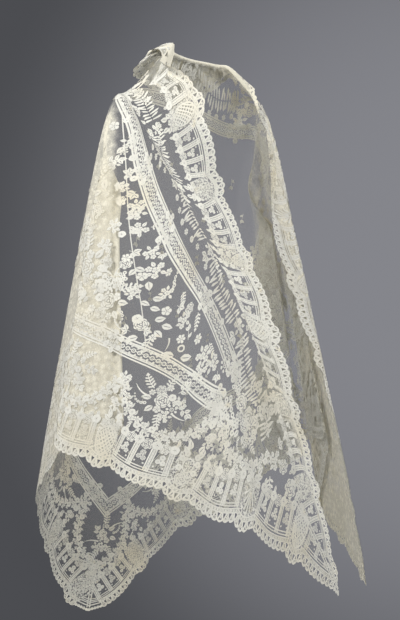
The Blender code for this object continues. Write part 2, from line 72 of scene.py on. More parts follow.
Shoulder = namedtuple("Shoulder", "s t side x y z")
NEAR = Shoulder(s=0.20, t=0.225, side=-1, x=-0.185, y=0.030, z=-0.105)
FAR = Shoulder(s=0.23, t=0.140, side=1, x=0.195, y=0.000, z=-0.090)
SHOULDER_ROUND = 0.030
ROUND_FROM = -135.0
ROUND_REACH = 0.050
CAP_REACH = 0.030
TAKE_REACH = 0.200
BODY_Y = -0.050
SIDE_END = 100.0            # degrees round a shoulder where its front and its back start
SIDE_SOFT = 60.0
CAP_LEAST = 0.35            # share of the shoulder's roundness that the back keeps

Ray = namedtuple("Ray", "angle forward outward taken ease")
EASE_FROM = 0.6
NEAR_RAYS = (
    Ray(-180.0, 4.0, -99.0, 0.030, 0.0),
    Ray(-152.0, 19.0, -122.0, 0.010, 0.0),
    Ray(-133.0, 40.0, -127.0, -0.020, 0.0),
    Ray(-90.0, 50.0, -126.0, -0.020, 0.0),
    Ray(-77.0, 73.0, -86.0, 0.140, 0.0),
    Ray(-66.0, 80.0, -56.0, 0.120, 0.0),
    Ray(-48.0, 62.0, -26.0, 0.090, 0.0),
    Ray(-27.0, 36.5, -21.0, 0.080, 0.0),
    Ray(-19.0, 33.0, -16.5, 0.065, 0.05),
    Ray(-13.5, 30.5, -14.0, 0.080, 0.20),
    Ray(-9.5, 29.5, -13.5, 0.100, 0.27),
    Ray(0.0, 29.5, -4.0, 0.045, 0.35),
    Ray(7.5, 24.0, 1.5, 0.000, 0.25),
    Ray(19.5, 13.3, 9.0, 0.005, 0.0),
    Ray(32.0, 0.5, 11.3, 0.010, 0.0),
    Ray(60.0, 0.5, 11.3, 0.010, 0.0),
    Ray(70.0, -5.4, 7.7, 0.000, 0.05),
    Ray(80.0, -11.7, 3.2, 0.000, 0.12),
    Ray(90.0, -17.2, -3.0, 0.000, 0.12),
    Ray(120.0, -16.7, -27.7, 0.000, 0.05),
    Ray(150.0, -14.0, -58.0, 0.020, 0.0),
    Ray(180.0, 4.0, -99.0, 0.030, 0.0),
)
FAR_RAYS = (
    Ray(-180.0, -6.0, -99.0, 0.030, 0.0),
    Ray(-165.0, 3.0, -110.0, 0.010, 0.0),
    Ray(-148.0, 17.0, -117.0, -0.010, 0.0),
    Ray(-90.0, 57.0, -72.0, 0.087, 0.0),
    Ray(-60.0, 47.0, -41.0, 0.047, 0.0),
    Ray(-33.7, 36.5, -24.0, 0.020, 0.0),
    Ray(-20.0, 31.5, -26.0, 0.000, 0.0),
    Ray(-14.0, 28.0, -18.0, 0.020, 0.0),
    Ray(-9.0, 20.0, -3.0, 0.070, 0.0),
    Ray(-6.0, 12.0, 4.8, 0.100, 0.0),
    Ray(0.0, 7.0, 8.0, 0.050, 0.0),
    Ray(10.0, 1.2, 10.0, 0.000, 0.0),
    Ray(36.0, 1.2, 10.0, 0.000, 0.0),
    Ray(50.0, -9.0, 7.5, 0.000, 0.0),
    Ray(76.0, -9.0, 7.5, 0.000, 0.0),
    Ray(90.0, -18.5, 1.0, 0.000, 0.0),
    Ray(120.0, -16.0, -27.0, 0.000, 0.0),
    Ray(150.0, -14.0, -58.0, 0.020, 0.0),
    Ray(180.0, -6.0, -99.0, 0.030, 0.0),
)
Pleat = namedtuple("Pleat", "outer inner under")
NEAR_PLEATS = (Pleat(32.0, 46.0, 60.0),)
FAR_PLEATS = (Pleat(10.0, 23.0, 36.0), Pleat(50.0, 63.0, 76.0))
PLEAT_GAP = 0.010
PLEAT_TURN = 0.012
PLEAT_FADE = 14.0
PLEAT_DIP = 0.024
PLEAT_START = 0.13
PLEAT_OPEN = 0.20
PLEAT_DEEP = 0.22
Fold = namedtuple("Fold", "angle spread height")
NEAR_FOLDS = (
    Fold(-2.0, 3.0, 0.010),
    Fold(6.0, 3.0, -0.012),
    Fold(16.0, 4.0, 0.016),
    Fold(78.0, 5.0, 0.014),
    Fold(98.0, 6.0, 0.034),
    Fold(108.0, 5.0, -0.020),
)
FAR_FOLDS = (
    Fold(43.0, 3.0, 0.020),
    Fold(92.0, 6.0, 0.030),
    Fold(102.0, 5.0, -0.020),
)
FOLD_START = 0.5
Turned = namedtuple("Turned", "s width turn")
COLLAR = (
    Turned(-0.31, 0.010, 0.0),
    Turned(-0.27, 0.014, 90.0),
    Turned(-0.23, 0.026, 160.0),
    Turned(-0.17, 0.055, 172.0),
    Turned(-0.11, 0.085, 172.0),
    Turned(0.00, 0.110, 172.0),
    Turned(0.12, 0.105, 172.0),
    Turned(0.17, 0.085, 168.0),
    Turned(0.21, 0.055, 150.0),
    Turned(0.25, 0.026, 90.0),
    Turned(0.32, 0.012, 0.0),
)
COLLAR_ROLL = 0.012
COLLAR_BEND = 0.012
COLLAR_CREASE = 0.008
NORMAL_STEP = 0.0015

# Small creases that only the cloth shown here has: from (s, t) to (s, t), half width, height
CREASE_START = 0.25         # shares of a crease over which it rises and fades
CREASE_END = 0.30
Crease = namedtuple("Crease", "s t to_s to_t width height")
CREASES = (
    Crease(0.27, 0.20, 0.46, 0.17, 0.010, -0.004),
    Crease(0.30, 0.27, 0.86, 0.38, 0.014, 0.003),
    Crease(0.62, 0.30, 1.05, 0.33, 0.020, -0.003),
    Crease(0.75, 0.10, 1.10, 0.16, 0.016, 0.003),
    Crease(1.02, 0.07, 1.36, 0.09, 0.014, -0.003),
    Crease(0.46, 0.02, 0.60, 0.12, 0.012, 0.002),
    Crease(-0.35, 0.22, -0.80, 0.20, 0.014, 0.003),
    Crease(-0.55, 0.10, -1.05, 0.13, 0.016, -0.003),
    Crease(0.05, 0.40, 0.02, 0.95, 0.022, 0.004),
    Crease(-0.14, 0.45, -0.22, 1.00, 0.018, -0.004),
    Crease(0.16, 0.50, 0.20, 1.05, 0.020, -0.003),
    Crease(-0.30, 0.40, -0.45, 0.80, 0.018, 0.003),
)


def smooth_step(x):
    x = np.clip(x, 0.0, 1.0)
    return x * x * (3.0 - 2.0 * x)


def smooth_curve(x, rows, name, value):
    """A smooth curve through a table's rows that never overshoots them."""
    xp = np.array([getattr(row, name) for row in rows])
    fp = np.array([getattr(row, value) for row in rows])
    width = np.diff(xp)
    slope = np.diff(fp) / width
    tangent = np.zeros_like(fp)
    tangent[0] = slope[0]
    tangent[-1] = slope[-1]
    for k in range(1, len(xp) - 1):
        if slope[k - 1] * slope[k] > 0.0:
            before = 2.0 * width[k] + width[k - 1]
            after = width[k] + 2.0 * width[k - 1]
            tangent[k] = (before + after) / (before / slope[k - 1] + after / slope[k])
    x = np.clip(x, xp[0], xp[-1])
    k = np.clip(np.searchsorted(xp, x, side="right") - 1, 0, len(xp) - 2)
    u = (x - xp[k]) / width[k]
    start = (1.0 + 2.0 * u) * (1.0 - u) ** 2 * fp[k] + u * (1.0 - u) ** 2 * width[k] * tangent[k]
    end = u * u * (3.0 - 2.0 * u) * fp[k + 1] + u * u * (u - 1.0) * width[k] * tangent[k + 1]
    return start + end


def soft_ramp(degrees, turn):
    near = (degrees + turn) ** 2 / (4.0 * turn)
    return np.where(np.abs(degrees) < turn, near, np.maximum(degrees, 0.0))


def from_body_axis(place):
    level = place - np.array((0.0, BODY_Y, 0.0))
    level[..., 2] = 0.0
    return level / np.maximum(np.linalg.norm(level, axis=-1, keepdims=True), 1e-6)


def hang_from(shoulder, rays, pleats, folds, s, t):
    """The cloth as it hangs from one shoulder; s counts towards that shoulder's tip."""
    distance = np.hypot(s - shoulder.s, t - shoulder.t)
    angle = np.degrees(np.arctan2(t - shoulder.t, s - shoulder.s))

    turn = np.degrees(PLEAT_TURN / np.maximum(distance, PLEAT_START))
    turned = angle.copy()
    hidden = np.zeros_like(angle)
    for pleat in pleats:
        zigzag = angle - 2.0 * soft_ramp(angle - pleat.outer, turn)
        zigzag += 2.0 * soft_ramp(angle - pleat.inner, turn)
        in_pleat = (angle > pleat.outer - turn) & (angle < pleat.under)
        turned = np.where(in_pleat, zigzag, turned)
        hidden += np.where(angle >= pleat.under, pleat.under - pleat.outer, 0.0)
    taken_in = sum(pleat.under - pleat.outer for pleat in pleats)
    spread = 360.0 * (turned - hidden + 180.0) / (360.0 - taken_in)
    opened = smooth_step((distance - PLEAT_START) / PLEAT_OPEN)
    inset = np.zeros_like(angle)
    for pleat in pleats:
        in_pleat = (angle > pleat.outer - turn) & (angle < pleat.under)
        at = np.where(in_pleat, angle, turned)
        first = smooth_step((at - pleat.outer) / (2.0 * turn) + 0.5)
        second = smooth_step((at - pleat.inner) / (2.0 * turn) + 0.5)
        valley = smooth_step((at - pleat.outer) / (pleat.inner - pleat.outer))
        dip = PLEAT_DIP * 4.0 * opened * (1.0 - opened)
        lost = smooth_step((at - pleat.under) / PLEAT_FADE)
        inset += PLEAT_GAP * (first + second - 2.0 * lost) + dip * (valley - lost)

    def along(value):
        flat = smooth_curve(angle, rays, "angle", value)
        return flat + (smooth_curve(turned, rays, "angle", value) - flat) * opened

    forward, outward = along("forward"), along("outward")
    length = distance - along("taken") * (1.0 - np.exp(-distance / TAKE_REACH))
    lean = np.maximum(np.hypot(forward, outward), 1e-6)
    tilt = np.radians(lean * (1.0 - along("ease") * (distance - EASE_FROM)))
    reach = length * np.sin(tilt)

    before, after = (angle + SIDE_END) / SIDE_SOFT, (angle - SIDE_END) / SIDE_SOFT
    front_side = smooth_step(before) * (1.0 - smooth_step(after))
    round_share = CAP_LEAST + (1.0 - CAP_LEAST) * front_side
    cap = SHOULDER_ROUND * (1.0 - np.exp(-distance / ROUND_REACH)) * round_share
    over = np.radians(ROUND_FROM + (angle + 180.0) * (1.0 - opened) + spread * opened)
    out = reach * outward / lean + cap * np.sin(over)
    ahead = reach * forward / lean + cap * np.cos(over)
    down = length * np.cos(tilt) * (1.0 - np.exp(-distance / CAP_REACH))
    place = np.stack([shoulder.x + shoulder.side * out, shoulder.y - ahead, shoulder.z - down], -1)

    push = np.zeros_like(angle)
    nested = angle + (turned - angle) * opened
    for fold in folds:
        push += fold.height * np.exp(-(((nested - fold.angle) / fold.spread) ** 2))
    push *= distance * smooth_step(distance / FOLD_START)
    push -= inset * smooth_step(distance / PLEAT_DEEP)
    return place + from_body_axis(place) * push[..., None]


def standing(s, t):
    """The cloth before its edge is turned over at the neck."""
    near = hang_from(NEAR, NEAR_RAYS, NEAR_PLEATS, NEAR_FOLDS, s, t)
    far = hang_from(FAR, FAR_RAYS, FAR_PLEATS, FAR_FOLDS, -s, t)
    share = smooth_step((s + FAR.s) / (NEAR.s + FAR.s))[..., None]
    return far * (1.0 - share) + near * share


def normals_of(surface, s, t):
    along = surface(s + NORMAL_STEP, t) - surface(s - NORMAL_STEP, t)
    down = surface(s, t + NORMAL_STEP) - surface(s, t - NORMAL_STEP)
    normal = np.cross(down, along)
    return normal / np.maximum(np.linalg.norm(normal, axis=-1, keepdims=True), 1e-9)


def worn(s, t):
    """The place in space of the cloth's points (s, t)."""
    above = smooth_curve(s, COLLAR, "s", "width") - t
    turn = np.radians(smooth_curve(s, COLLAR, "s", "turn"))
    bent = 0.5 * (above + np.hypot(above, COLLAR_CREASE))
    lifted = 0.5 * (1.0 + above / np.hypot(above, COLLAR_BEND))
    below = t + bent * (1.0 - np.cos(turn))
    out = bent * np.sin(turn) + COLLAR_ROLL * 0.5 * (1.0 - np.cos(turn)) * lifted
    return standing(s, below) + normals_of(standing, s, below) * out[..., None]


def crease_height(s, t):
    """How far all creases together lift the cloth at flat points."""
    total = np.zeros_like(s)
    for c in CREASES:
        along = np.array((c.to_s - c.s, c.to_t - c.t))
        length = np.hypot(*along)
        along = along / length
        x = ((s - c.s) * along[0] + (t - c.t) * along[1]) / length
        y = (s - c.s) * -along[1] + (t - c.t) * along[0]
        fading = smooth_step((x - (1.0 - CREASE_END)) / CREASE_END)
        ends = smooth_step(x / CREASE_START) * (1.0 - fading)
        total += c.height * ends * np.exp(-((y / c.width) ** 2))
    return total


# The worn surface and its normals on a fine grid of the flat cloth, looked up for every point
GRID = 0.004
GRID_EDGE = 0.016


def make_grid():
    s = np.arange(-HALF_EDGE - GRID_EDGE, HALF_EDGE + GRID_EDGE, GRID)
    t = np.arange(-GRID_EDGE, HALF_EDGE + GRID_EDGE, GRID)
    across, down = np.meshgrid(s, t, indexing="ij")
    wanted = down < HALF_EDGE - np.abs(across) + 3.0 * GRID_EDGE
    place = np.zeros(across.shape + (3,))
    place[wanted] = worn(across[wanted], down[wanted])
    normal = np.cross(np.gradient(place, axis=1), np.gradient(place, axis=0))
    normal /= np.maximum(np.linalg.norm(normal, axis=-1, keepdims=True), 1e-9)
    place += normal * crease_height(across, down)[..., None]
    return place, normal


GRID_PLACE, GRID_NORMAL = make_grid()


def on_cloth(flat, lift):
    """Places in space of flat points, so far over the cloth's middle."""
    x = (flat[:, 0] + HALF_EDGE + GRID_EDGE) / GRID
    y = (flat[:, 1] + GRID_EDGE) / GRID
    i = np.clip(x.astype(int), 0, GRID_PLACE.shape[0] - 2)
    j = np.clip(y.astype(int), 0, GRID_PLACE.shape[1] - 2)
    u, v = (x - i)[:, None], (y - j)[:, None]

    def blend(table):
        low = table[i, j] * (1.0 - u) + table[i + 1, j] * u
        high = table[i, j + 1] * (1.0 - u) + table[i + 1, j + 1] * u
        return low * (1.0 - v) + high * v

    normal = blend(GRID_NORMAL)
    normal /= np.maximum(np.linalg.norm(normal, axis=-1, keepdims=True), 1e-9)
    return blend(GRID_PLACE) + normal * np.reshape(lift, (-1, 1))


# The flat outline
Edge = namedtuple("Edge", "name start along inward length")
ROOT_HALF = math.sqrt(0.5)
LEG = HALF_EDGE / ROOT_HALF
EDGES = (
    Edge("front", (-HALF_EDGE, 0.0), (1.0, 0.0), (0.0, 1.0), 2.0 * HALF_EDGE),
    Edge("near", (HALF_EDGE, 0.0), (-ROOT_HALF, ROOT_HALF), (-ROOT_HALF, -ROOT_HALF), LEG),
    Edge("far", (0.0, HALF_EDGE), (-ROOT_HALF, -ROOT_HALF), (ROOT_HALF, -ROOT_HALF), LEG),
)


def edge_points(edge, along, inside):
    """Flat points that lie so far along an edge and so far inside it."""
    along, inside = np.broadcast_arrays(np.asarray(along, float), np.asarray(inside, float))
    start, ahead, inward = (np.array(v) for v in (edge.start, edge.along, edge.inward))
    return start + ahead * along[..., None] + inward * inside[..., None]


def lobes(share):
    """How far the edge lies inside the cloth's outline at shares of a repeat."""
    lobe = EDGE_ROOM - LOBE_RISE * np.sin(np.pi * np.clip(share / LOBE_SHARE, 0.0, 1.0))
    rest = np.clip((share - LOBE_SHARE) / (1.0 - LOBE_SHARE), 0.0, 1.0)
    return np.where(share < LOBE_SHARE, lobe, EDGE_ROOM - MEDALLION_RISE * np.sin(np.pi * rest))


def repeats_on(edge):
    """How many repeats an edge has, and how long each is."""
    room = edge.length - 2.0 * CORNER_ROOM
    count = round(room / REPEAT)
    return count, room / count


def border_points(edge, along, depth, follow=1.0):
    """Flat points on a border: along from the first repeat, depth from its scalloped edge."""
    count, length = repeats_on(edge)
    along = np.asarray(along, float)
    share = (along / length) % 1.0
    bulge = (lobes(share) - EDGE_ROOM) * follow
    return edge_points(edge, CORNER_ROOM + along, EDGE_ROOM + np.asarray(depth, float) + bulge)


def heading(turn):
    """The flat direction at some degrees from +s."""
    return np.array((math.cos(math.radians(turn)), math.sin(math.radians(turn))))


def turn_of(ahead):
    return math.degrees(math.atan2(ahead[1], ahead[0]))


def left_of(ahead):
    return np.array((-ahead[1], ahead[0]))


def measured(path):
    """A path's length, and the point on it at any distance from its start."""
    gone = np.concatenate([[0.0], np.cumsum(np.linalg.norm(np.diff(path, axis=0), axis=-1))])
    return gone[-1], lambda at: np.array([np.interp(at, gone, path[:, k]) for k in range(2)])


def edge_turn(edge):
    return turn_of(edge.along)


def inside_of(edge, flat):
    return (flat - np.array(edge.start)) @ np.array(edge.inward)


def depth_inside(flat):
    """How far flat points lie inside the nearest edge."""
    return np.min([inside_of(edge, flat) for edge in EDGES], 0)


def corner_bisector(edge):
    """The direction from an edge's first corner towards the cloth."""
    before = EDGES[EDGES.index(edge) - 1]
    between = np.array(edge.along) - np.array(before.along)
    return between / np.linalg.norm(between)


# Shapes: flat points, triangles and how dense the thread is at each point
Shape = namedtuple("Shape", "points faces dense")


def shape(points, faces, dense=1.0):
    points = np.asarray(points, float)
    return Shape(points, np.asarray(faces, int).reshape(-1, 3), np.full(len(points), float(dense)))


def joined(parts):
    points, faces, dense = [], [], []
    first = 0
    for part in parts:
        points.append(part.points)
        faces.append(part.faces + first)
        dense.append(part.dense)
        first += len(part.points)
    return Shape(np.concatenate(points), np.concatenate(faces), np.concatenate(dense))


def placed(part, at=(0.0, 0.0), size=1.0, turn=0.0, flip=False):
    """A shape scaled, turned by degrees and moved."""
    points = part.points * (size, -size if flip else size)
    c, s = math.cos(math.radians(turn)), math.sin(math.radians(turn))
    return Shape(points @ np.array(((c, s), (-s, c))) + np.array(at), part.faces, part.dense)


def strip(left, right, dense=1.0, closed=False):
    """A band between two rows of points."""
    count = len(left)
    k = np.arange(count if closed else count - 1)
    after = (k + 1) % count
    first = np.stack([k, after, count + after], -1)
    second = np.stack([k, count + after, count + k], -1)
    return shape(np.concatenate([left, right]), np.concatenate([first, second]), dense)


def ribbon(path, width, dense=1.0, closed=False):
    """A band of some width (a number or one for each point) along a path."""
    path = np.asarray(path, float)
    if closed:
        ahead = np.roll(path, -1, 0) - np.roll(path, 1, 0)
    else:
        ahead = np.gradient(path, axis=0)
    ahead = ahead / np.maximum(np.linalg.norm(ahead, axis=-1, keepdims=True), 1e-9)
    side = np.stack([-ahead[:, 1], ahead[:, 0]], -1) * 0.5 * np.reshape(width, (-1, 1))
    return strip(path + side, path - side, dense, closed)


def fan(outline, dense=1.0, middle=None):
    outline = np.asarray(outline, float)
    middle = outline.mean(0) if middle is None else np.asarray(middle, float)
    k = np.arange(len(outline))
    faces = np.stack([k, (k + 1) % len(outline), np.full(len(outline), len(outline))], -1)
    return shape(np.vstack([outline, middle]), faces, dense)


def circle(radius, count, start=0.0, end=360.0, full=True):
    turn = np.radians(np.linspace(start, end, count, endpoint=not full))
    return np.stack([np.cos(turn), np.sin(turn)], -1) * radius


def ring(radius, width, count):
    outer, inner = circle(radius + 0.5 * width, count), circle(radius - 0.5 * width, count)
    return strip(outer, inner, closed=True)


def arc(inner, outer, start, end, count):
    near = circle(inner, count, start, end, False)
    return strip(circle(outer, count, start, end, False), near)


def dot(radius, count=6, dense=1.0):
    return fan(circle(radius, count), dense, (0.0, 0.0))


def petal(width, start):
    """A rounded petal along +x that ends at 1."""
    u = np.linspace(0.0, 1.0, 6)
    x = start + (1.0 - start) * u
    y = 0.5 * width * np.sin(np.pi * u ** 1.5) ** 0.7
    return fan(np.vstack([np.stack([x, y], -1), np.stack([x, -y], -1)[-2:0:-1]]))


def leaf(width, teeth=0.0, slit=0.035, count=7):
    """A pointed leaf along +x with a vein left open."""
    x = np.linspace(0.0, 1.0, count)
    half = width * np.sin(np.pi * x ** 0.85) ** 0.9 + 1e-4
    half[1:-1] += teeth * (np.arange(count - 2) % 2)
    open_half = np.minimum(slit * np.sin(np.pi * np.clip(x * 1.15, 0, 1)), half)
    halves = []
    for side in (1.0, -1.0):
        outer = np.stack([x - 0.02 * (half > 0.1), side * half], -1)
        halves.append(strip(outer, np.stack([x, side * open_half], -1)))
    return joined(halves)


def flower(petals=5, width=0.84, hole=0.20):
    parts = [placed(petal(width, 0.16), turn=360.0 * k / petals) for k in range(petals)]
    parts.append(ring(hole, 0.16, 6))
    return joined(parts)


def rose():
    """Rings of arcs round a dot, and scalloped petals outside."""
    petals = 7
    parts = [dot(0.16, 6)]
    for k in range(3):
        parts.append(arc(0.24, 0.45, 120 * k, 120 * k + 100, 4))
    for k in range(5):
        parts.append(arc(0.51, 0.74, 72 * k + 20, 72 * k + 84, 4))
    for k in range(petals):
        u = np.linspace(0.0, 1.0, 4)
        angle = np.radians(360.0 / petals * (k + 0.05 + 0.90 * u))
        outer = 0.86 + 0.14 * np.sin(np.pi * u)
        rim = np.stack([np.cos(angle), np.sin(angle)], -1)
        parts.append(strip(rim * outer[:, None], rim * 0.79))
    return joined(parts)


def open_rose():
    """A ring of petals round an open middle with a small net of rings in it."""
    parts = [ring(0.30, 0.14, 8), dot(0.10, 5)]
    for k in range(7):
        parts.append(placed(petal(0.46, 0.46), turn=360.0 * k / 7))
    return joined(parts)


def stroke(start, turn, length, width):
    """A short thick stroke of thread that ends in a point."""
    ahead = heading(turn)
    across = left_of(ahead) * 0.5 * width
    start = np.asarray(start, float)
    wide = start + ahead * 0.7 * length
    end = start + ahead * length
    points = (start + 0.5 * across, wide + across, end, wide - across, start - 0.5 * across)
    return shape(points, ((0, 1, 4), (1, 3, 4), (1, 2, 3)))


def bent_stem(end, count, bend, width):
    """A stem along +x that bends to one side."""
    x = np.linspace(0.0, end, count)
    return ribbon(np.stack([x, bend * x * x], -1), width)


def comb():
    """A curved stem along +x with short strokes to both sides."""
    pairs = 5
    bend = 0.25
    parts = [bent_stem(1.0, 6, bend, 0.06)]
    for k in range(pairs):
        u = 0.12 + 0.80 * k / (pairs - 1)
        reach = 0.33 * math.sin(math.pi * (0.30 + 0.62 * u))
        slope = turn_of((1.0, 2.0 * bend * u))
        for side in (1.0, -1.0):
            parts.append(stroke((u, bend * u * u), slope + side * 60.0, reach, 0.125))
    parts.append(stroke((0.90, bend * 0.81), turn_of((1.0, 2.0 * bend)), 0.22, 0.11))
    return joined(parts)


def twig(leaves=5, bend=0.2):
    """A stem along +x with leaves, the last one at its end."""
    small = leaf(0.28, 0.03)
    parts = [bent_stem(0.66, 5, bend, 0.035)]
    parts.append(placed(small, (0.62, bend * 0.40), 0.42, turn_of((1.0, 1.3 * bend))))
    for k in range(leaves - 1):
        u = 0.14 + 0.50 * k / max(leaves - 2, 1)
        side = 1.0 if k % 2 else -1.0
        turn = turn_of((1.0, 2.0 * bend * u)) + side * 56.0
        parts.append(placed(small, (u, bend * u * u), 0.38, turn))
    return joined(parts)


def trio():
    """Three broad leaves that open from one point."""
    parts = [placed(leaf(0.30, 0.03), (0.10, 0.0), 0.90, turn) for turn in (-58.0, 0.0, 58.0)]
    parts.append(ribbon(((-0.35, 0.06), (-0.1, 0.0), (0.15, 0.0)), 0.06))
    return joined(parts)


def posy():
    """Four small flowers close together, with buds between."""
    spots = ((0.05, 0.0, 0.50), (0.82, 0.28, 0.43), (-0.30, 0.76, 0.42), (-0.42, -0.62, 0.45))
    parts = [placed(flower(), (x, y), size, 97.0 * x) for x, y, size in spots]
    for x, y, turn in ((-0.45, 0.1, 165.0), (0.35, 0.5, 75.0), (0.35, -0.4, -50.0)):
        parts.append(placed(leaf(0.30, 0.0, 0.02, 5), (x, y), 0.85, turn))
    return joined(parts)


def beads():
    """A curved chain of small rings that grow smaller."""
    parts = []
    for k in range(6):
        angle = math.radians(22.0 * k)
        at = (1.3 * math.sin(angle), 1.3 * (1.0 - math.cos(angle)))
        parts.append(placed(ring(0.68, 0.64, 6), at, 0.30 - 0.028 * k))
    return joined(parts)


def cluster():
    """Many little round flowers, as on a head of hydrangea."""
    count = 9
    parts = []
    for k in range(count):
        angle = 2.4 * k
        radius = 0.85 * math.sqrt(k / count)
        at = (radius * math.cos(angle), radius * math.sin(angle))
        parts.append(placed(ring(0.18, 0.17, 7), at))
    return joined(parts)


def blade():
    """A thin blade of grass, curved and pointed."""
    x = np.linspace(0.0, 1.0, 6)
    return ribbon(np.stack([x, 0.45 * x * x], -1), 0.13 * (1.02 - x) ** 0.5)


SHAPES = {
    "flower": flower(),
    "star": flower(6, 0.62, 0.20),
    "round": flower(5, 1.06, 0.22),
    "rose": rose(),
    "open_rose": open_rose(),
    "leaf": leaf(0.30, 0.03),
    "slim": leaf(0.19, 0.0, 0.02, 6),
    "comb": comb(),
    "twig": twig(),
    "twig3": twig(3, -0.15),
    "trio": trio(),
    "posy": posy(),
    "beads": beads(),
    "cluster": cluster(),
    "blade": blade(),
    "ring": ring(0.75, 0.44, 8),
    "dot": dot(1.0),
}
MITRE_OVERLAP = 0.0008


class Lace:
    """One piece of lace work: shapes laid on the cloth."""

    def __init__(self, name, lift):
        self.name = name
        self.lift = lift
        self.parts = []

    def lay(self, part, mirrored=False):
        self.parts.append(part)
        if mirrored:
            self.parts.append(Shape(part.points * (-1.0, 1.0), part.faces, part.dense))

    def stamp(self, name, s, t, size, turn=0.0, mirrored=False):
        self.lay(placed(SHAPES[name], (s, t), size, turn, RANDOM.random() < 0.5), mirrored)

    def mitre(self, edge, first):
        """Leave out what an edge's lace, from its part first on, lays beyond a corner's mitre."""
        kept = []
        for part in self.parts[first:]:
            middle = part.points[part.faces].mean(1)
            own = inside_of(edge, middle)
            others = np.min([inside_of(other, middle) for other in EDGES if other is not edge], 0)
            faces = part.faces[own <= others + MITRE_OVERLAP]
            if len(faces):
                kept.append(Shape(part.points, faces, part.dense))
        self.parts[first:] = kept


def add_object(name, data):
    ob = bpy.data.objects.new(name, data)
    bpy.context.scene.collection.objects.link(ob)
    return ob


def mesh_piece(name, flat, faces, lift, dense, tone, material):
    """A mesh over the cloth whose faces all look outwards, with its flat place kept as its UV."""
    a, b, c = (flat[faces[:, k]] for k in range(3))
    area = (b[:, 0] - a[:, 0]) * (c[:, 1] - a[:, 1]) - (b[:, 1] - a[:, 1]) * (c[:, 0] - a[:, 0])
    faces = np.where((area > 0.0)[:, None], faces[:, ::-1], faces)[np.abs(area) > 1e-10]
    place = on_cloth(flat, lift)
    data = bpy.data.meshes.new(name)
    data.vertices.add(len(place))
    data.vertices.foreach_set("co", place.ravel())
    data.loops.add(3 * len(faces))
    data.loops.foreach_set("vertex_index", faces.ravel())
    data.polygons.add(len(faces))
    data.polygons.foreach_set("loop_start", np.arange(0, 3 * len(faces), 3))
    data.update(calc_edges=True)
    layer = data.uv_layers.new(name="flat")
    layer.uv.foreach_set("vector", flat[faces.ravel()].ravel())
    for label, values in (("dense", dense), ("tone", tone)):
        attribute = data.attributes.new(label, "FLOAT", "POINT")
        attribute.data.foreach_set("value", np.asarray(values, float))
    data.materials.append(material)
    data.shade_smooth()
    return add_object(name, data)


# Shapes that overlap lie at slightly different heights, and grounds lie lowest
LAYERS = 11
LAYER_STEP = 0.00004
GROUND_DROP = 0.0003
GROUND_DENSE = 0.95         # a shape less dense than this is a ground


def lace_piece(lace, material):
    """The mesh of one piece of lace, with a tone of its own for each shape."""
    tones, lifts = [], []
    for k, part in enumerate(lace.parts):
        ground = part.dense.min() < GROUND_DENSE
        lift = lace.lift - GROUND_DROP if ground else lace.lift + LAYER_STEP * (k % LAYERS)
        lifts.append(np.full(len(part.points), lift))
        tones.append(np.full(len(part.points), RANDOM.uniform(-1.0, 1.0)))
    whole = joined(lace.parts)
    lift, tone = np.concatenate(lifts), np.concatenate(tones)
    return mesh_piece(lace.name, whole.points, whole.faces, lift, whole.dense, tone, material)


# The pieces of lace, and how far each lies over the cloth's middle
edging = Lace("lace_edging", 0.0011)
bars = Lace("lace_ladders", 0.0011)
medallions = Lace("lace_medallions", 0.0013)
border_flowers = Lace("lace_border_flowers", 0.0015)
band = Lace("lace_frame_band", 0.0010)
garlands = Lace("lace_garlands", 0.0011)
field = Lace("lace_field", 0.0011)

# The border, by depth inside its scalloped edge
RIM = 0.0043                # width of the outermost line
BRAID = (0.0146, 0.0222)    # depths of the two lines of the braid
BRAID_FILL = 0.80
DOUBLE = (0.0268, 0.0322)   # depths of the double line under each lobe
PANELS = 3
RUNG_FROM = 0.0240
RUNG_TO = 0.077
RUNG_SIDE = 0.0046          # from a rung's middle to its side lines
MEDALLION_DEEP = 0.92
GROUND = 0.36               # how dense the ground round a medallion is
PANEL_ROOM = 0.05           # share of a lobe left beside its first rung
EDGE_LINES = ((BRAID[0], 0.0028), (BRAID[1], 0.0026), (DOUBLE[0], 0.0024), (DOUBLE[1], 0.0024))
LINE_FOLLOW = 0.9           # how much of the outline's scallops the braid follows
PANEL_FOLLOW = 0.6
BAR_WIDTH = 0.0038
BAR_TOP = 0.0022
BAR_TRIM = 0.0016
BAR_OUTER = 0.38            # where a scallop's bars start and end beside its middle
BAR_INNER = 0.09
TIP_DEPTH = 0.0056
TIP_SIZE = 0.0020
Web = namedtuple("Web", "share depth")
WEB = (                     # the fine ground inside one scallop, at shares of its length
    Web(0.14, 0.001),
    Web(0.36, -0.001),
    Web(0.64, -0.001),
    Web(0.86, 0.001),
    Web(0.58, 0.0125),
    Web(0.42, 0.0125),
)
WEB_DENSE = 0.40
SPECKLE_START = 0.003
SPECKLE_STEP = 0.0074
SPECKLE_SIZE = 0.0023
Spot = namedtuple("Spot", "along depth size")
PANEL_BLOSSOMS = (
    Spot(-0.0048, 0.0490, 0.0058),
    Spot(0.0050, 0.0505, 0.0055),
    Spot(-0.0004, 0.0600, 0.0064),
)
PANEL_DOTS = (Spot(-0.0092, 0.0385, 0.0022), Spot(0.0092, 0.0385, 0.0022))
Line = namedtuple("Line", "offset width dense")
RUNG_LINES = (
    Line(-RUNG_SIDE, 0.0029, 1.0),
    Line(0.0, 0.0048, 0.90),
    Line(RUNG_SIDE, 0.0029, 1.0),
)
RUNG_LEAN = 0.10            # how far the rungs lean towards the lobe's middle
Knob = namedtuple("Knob", "kind depth size")
KNOBS = (Knob("round", 0.0815, 0.0102), Knob("rose", 0.0785, 0.0122))
KNOB_LEAN = 0.08
KNOB_RISE = 0.005
KNOB_LEAF = 0.0120
PANEL_KINDS = ("round", "rose", "flower")


